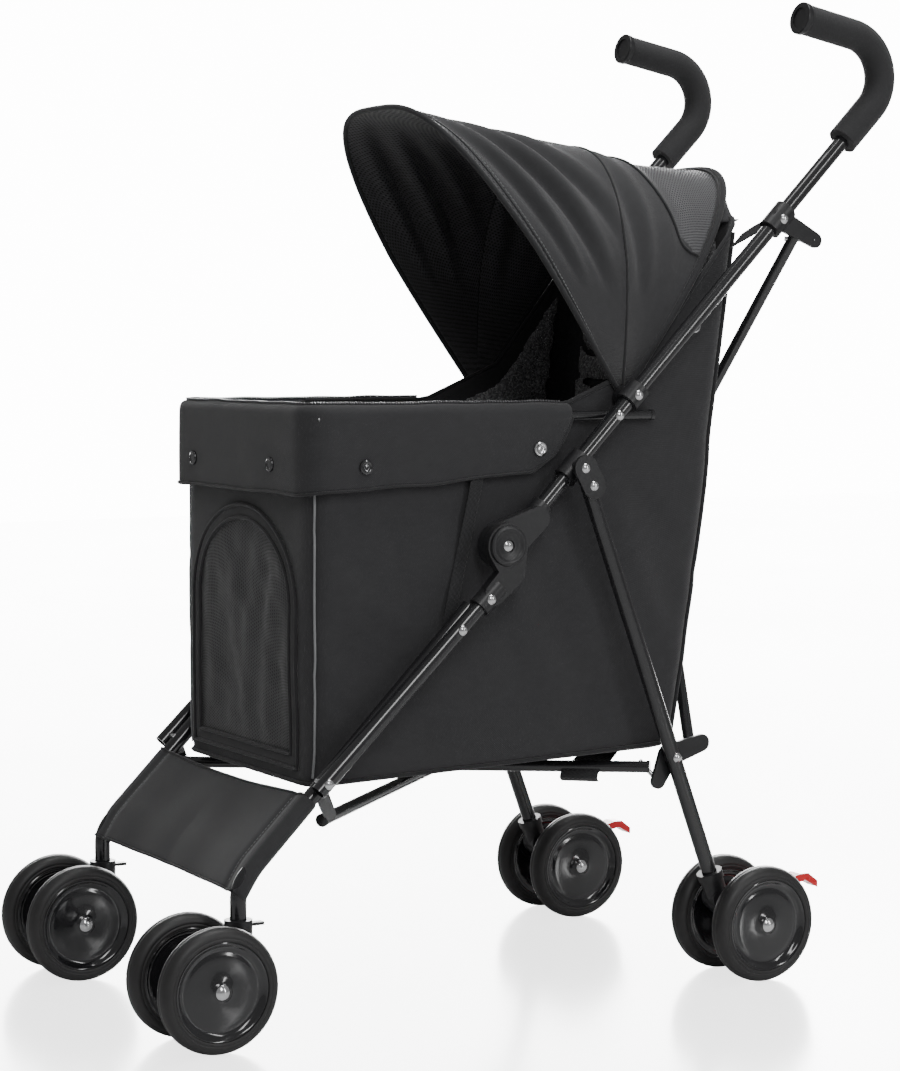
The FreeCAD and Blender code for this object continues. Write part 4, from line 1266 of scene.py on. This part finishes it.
# %% Window net, pipings and stitches
def window_place(u, v):
    t = (0.165 + 0.67 * u) * math.pi
    low = window_front(t)
    return hood_place(MIDDLE_HOOP, REAR_HOOP, low + (0.97 - low) * v, t, -0.8, REAR_CREASES)


window = sewn_sheet("window_net", 60, 14, window_place, (0.40, 0.12), 0.8, [window_net], 1)
on_canopy(window)
declare_sheet(window)
HOOP_STEPS = 130


def hoop_line(first, second, w, out, low=0.0, high=1.0, creases=()):
    turns = [(low + (high - low) * i / HOOP_STEPS) * math.pi for i in range(HOOP_STEPS + 1)]
    return [hood_place(first, second, w, t, out, creases) for t in turns]


window_edge = []
for i in range(HOOP_STEPS + 1):
    t = (0.17 + 0.66 * i / HOOP_STEPS) * math.pi
    window_edge.append(hood_place(MIDDLE_HOOP, REAR_HOOP, window_front(t), t, 0.6, REAR_CREASES))
on_canopy(piping("window_piping", window_edge, 1.6, binding_cloth))
rear_inner = hoop_line(MIDDLE_HOOP, REAR_HOOP, 0.955, 0.8, 0.02, 0.98, REAR_CREASES)
on_canopy(piping("rear_seam", rear_inner, 1.3, binding_cloth))
rear_rim = hoop_line(MIDDLE_HOOP, REAR_HOOP, 1.0, 0.0)
on_canopy(piping("rear_piping", rear_rim, 3.6, binding_cloth))
front_rim = hoop_line(FRONT_HOOP, MIDDLE_HOOP, 0.0, -1.0)
on_canopy(piping("front_lip", front_rim, 3.0, binding_cloth), "canopy_hood")
front_seam = hoop_line(FRONT_HOOP, MIDDLE_HOOP, 0.066, 0.2, creases=FRONT_CREASES)
on_canopy(piping("front_seam", front_seam, 1.1, binding_cloth), "canopy_hood")


# %% The net that wraps round the canopy's front edge
def front_net_place(u, v):
    t = (0.04 + 0.92 * u) * math.pi
    return hood_place(FRONT_HOOP, MIDDLE_HOOP, 0.062 * v, t, 0.5, FRONT_CREASES)


net_edge = sewn_sheet("front_net", 96, 3, front_net_place, (0.80, 0.014), 0.6, [lining_net], 1)
on_canopy(net_edge, "canopy_hood")
declare_sheet(net_edge)


def away_from_clamp(point):
    """Roughly out of the canopy at a point, for laying stitches on it."""
    middle = spot(0.0, CLAMP_Y - 90.0, CLAMP_Z + 60.0)
    return (point - middle).normalized()


line = hoop_line(FRONT_HOOP, MIDDLE_HOOP, 0.095, 0.4, 0.03, 0.97, FRONT_CREASES)
on_canopy(row("front_stitches", stitch_model, line, STITCH_STEP, away_from_clamp, pale_piping),
          "canopy_hood")
middle_seam = hoop_line(MIDDLE_HOOP, REAR_HOOP, 0.0, -0.4)
on_canopy(piping("middle_seam", middle_seam, 1.6, binding_cloth))
print("canopy trim done")


# %% The panel behind the canopy
def back_panel_place(u, v):
    t = (0.245 + 0.51 * u) * math.pi
    top = hoop(53.6, REAR_HOOP[1] - 1.5, REAR_HOOP[2] - 1.5, t)
    low_x = max(-141.0, min(141.0, top.x * 1.12))
    bulge = 5.0 * math.sin(math.pi * v)
    low = Vector((low_x, BACK_TOP[0] + 1.0, BACK_TOP[1] - 2.0))
    point = low.lerp(top, v)
    return spot(point.x, point.y + bulge, point.z)


back_panel = sewn_sheet("back_panel", 40, 8, back_panel_place, (0.27, 0.07), 2.0, [bag_cloth], 1)
on_canopy(back_panel)
declare_sheet(back_panel)

# %% [markdown]
# ## Footrest
# The footrest is a strip of the same cloth. Each end is sewn into a sleeve round a leg tube,
# and the middle hangs a little. It rides on the legs, so it folds down with them.

# %% The footrest and its seams
LEG_X, LEG_RISE = 168.0, 110.5
SLEEVE = 9.4
SLOPE = math.radians(45.0)
OFF_LEG = Vector((0.0, -math.sin(SLOPE), math.cos(SLOPE)))


def footrest_place(u, v):
    y = 113.0 - 76.0 * v
    hang_down = 10.0 * max(0.0, (v - 0.75) / 0.25) ** 1.5
    centre = Vector((0.0, y, y + LEG_RISE - hang_down))
    side = 1.0 if u < 0.5 else -1.0
    share = min(u, 1.0 - u)
    if share < 0.13:
        turn = math.radians(-165.0 + 255.0 * share / 0.13)
        x, lift = LEG_X + SLEEVE * math.cos(turn), SLEEVE * math.sin(turn)
    else:
        inward = (share - 0.13) / 0.37
        x = LEG_X * (1.0 - inward)
        sag = math.sin(inward * math.pi / 2)
        lift = SLEEVE - 6.0 * sag - 2.0 * math.exp(-((inward - 0.09) / 0.03) ** 2)
        lift += wrinkle((x, y, 11.0), 0.016, 2.0) * sag
    point = centre + OFF_LEG * lift
    half_way = math.pi * max(0.0, (share - 0.13) / 0.37) * 0.5
    pinch = 2.5 * math.sin(half_way) * (1.0 if v < 0.5 else -1.0)
    return spot(side * x, point.y - pinch * abs(2 * v - 1), point.z - pinch * abs(2 * v - 1))


footrest = sewn_sheet("footrest_cloth", 120, 16, footrest_place, (0.46, 0.094), 1.5,
                      [hood_cloth], 1)
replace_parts(hang(footrest, "front_leg_left"), "footrest_panel")
declare_sheet(footrest)
for name, v in (("footrest_top_hem", 0.0), ("footrest_foot_hem", 1.0)):
    line = [footrest_place(0.13 + 0.74 * i / 90, v) for i in range(91)]
    hang(piping(name, line, 1.4, binding_cloth), "front_leg_left")
for name, u in (("footrest_stitches_left", 0.168), ("footrest_stitches_right", 0.832)):
    line = [footrest_place(u, 0.05 + 0.9 * i / 30) + OFF_LEG * 0.0004 for i in range(31)]
    hang(row(name, stitch_model, line, STITCH_STEP, lambda p: OFF_LEG, pale_piping),
         "front_leg_left")

# %% [markdown]
# ## Straps
# Flat webbing ties the cloth to the frame: from under the collar to each leg tube, from the
# floor round each floor bar, and from the back's top corners to the handle tubes.


# %% Webbing
def strap(name, places, across, width, body="cabin", keep=BAG_KEEP):
    points = [spot(*place) for place in places]
    smooth = []
    for i in range(len(points) - 1):
        before = points[max(0, i - 1)]
        after = points[min(len(points) - 1, i + 2)]
        for step in range(6):
            k = step / 6
            a, b = points[i], points[i + 1]
            bend = ((b - before) * (1 - k) - (after - a) * k) * 0.5 * k * (1 - k)
            smooth.append(a.lerp(b, k) + bend * 0.6)
    smooth.append(points[-1])
    piece = ribbon(name, smooth, across, width, 1.4, webbing)
    if keep:
        hang(piece, body)
    else:
        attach(piece, body)
    return piece


for side, label in ((1, "left"), (-1, "right")):
    strap(f"leg_strap_{label}", [(side * 158.6, 305, 530), (side * 158.4, 300, 505),
                                 (side * 158.0, 290, 462), (side * 158.0, 280, 420),
                                 (side * 158.2, 272, 384)], (0, 0.97, 0.2), 15.0, keep=COLLAR_KEEP)
    strap(f"floor_strap_{label}", [(side * 92, 498, 241.5), (side * 97, 492, 238),
                                   (side * 104, 478, 229), (side * 111, 466, 223.5),
                                   (side * 116, 457, 222.8), (side * 121, 449, 218),
                                   (side * 121, 447, 212), (side * 116, 452, 207.5)],
          (side * 0.65, 0.76, 0.0), 40.0)
    strap(f"corner_tab_{label}", [(side * 146.5, 621, 764), (side * 149, 632, 771),
                                  (side * 155, 645, 779), (side * 159.5, 655, 786)],
          (0, 0.70, 0.71), 26.0, body=f"side_{label}", keep=None)
for model in (stitch_model, tooth_model, snap_model):
    bpy.data.objects.remove(model)
print("straps: two at the legs, two at the floor bars, two at the back corners")
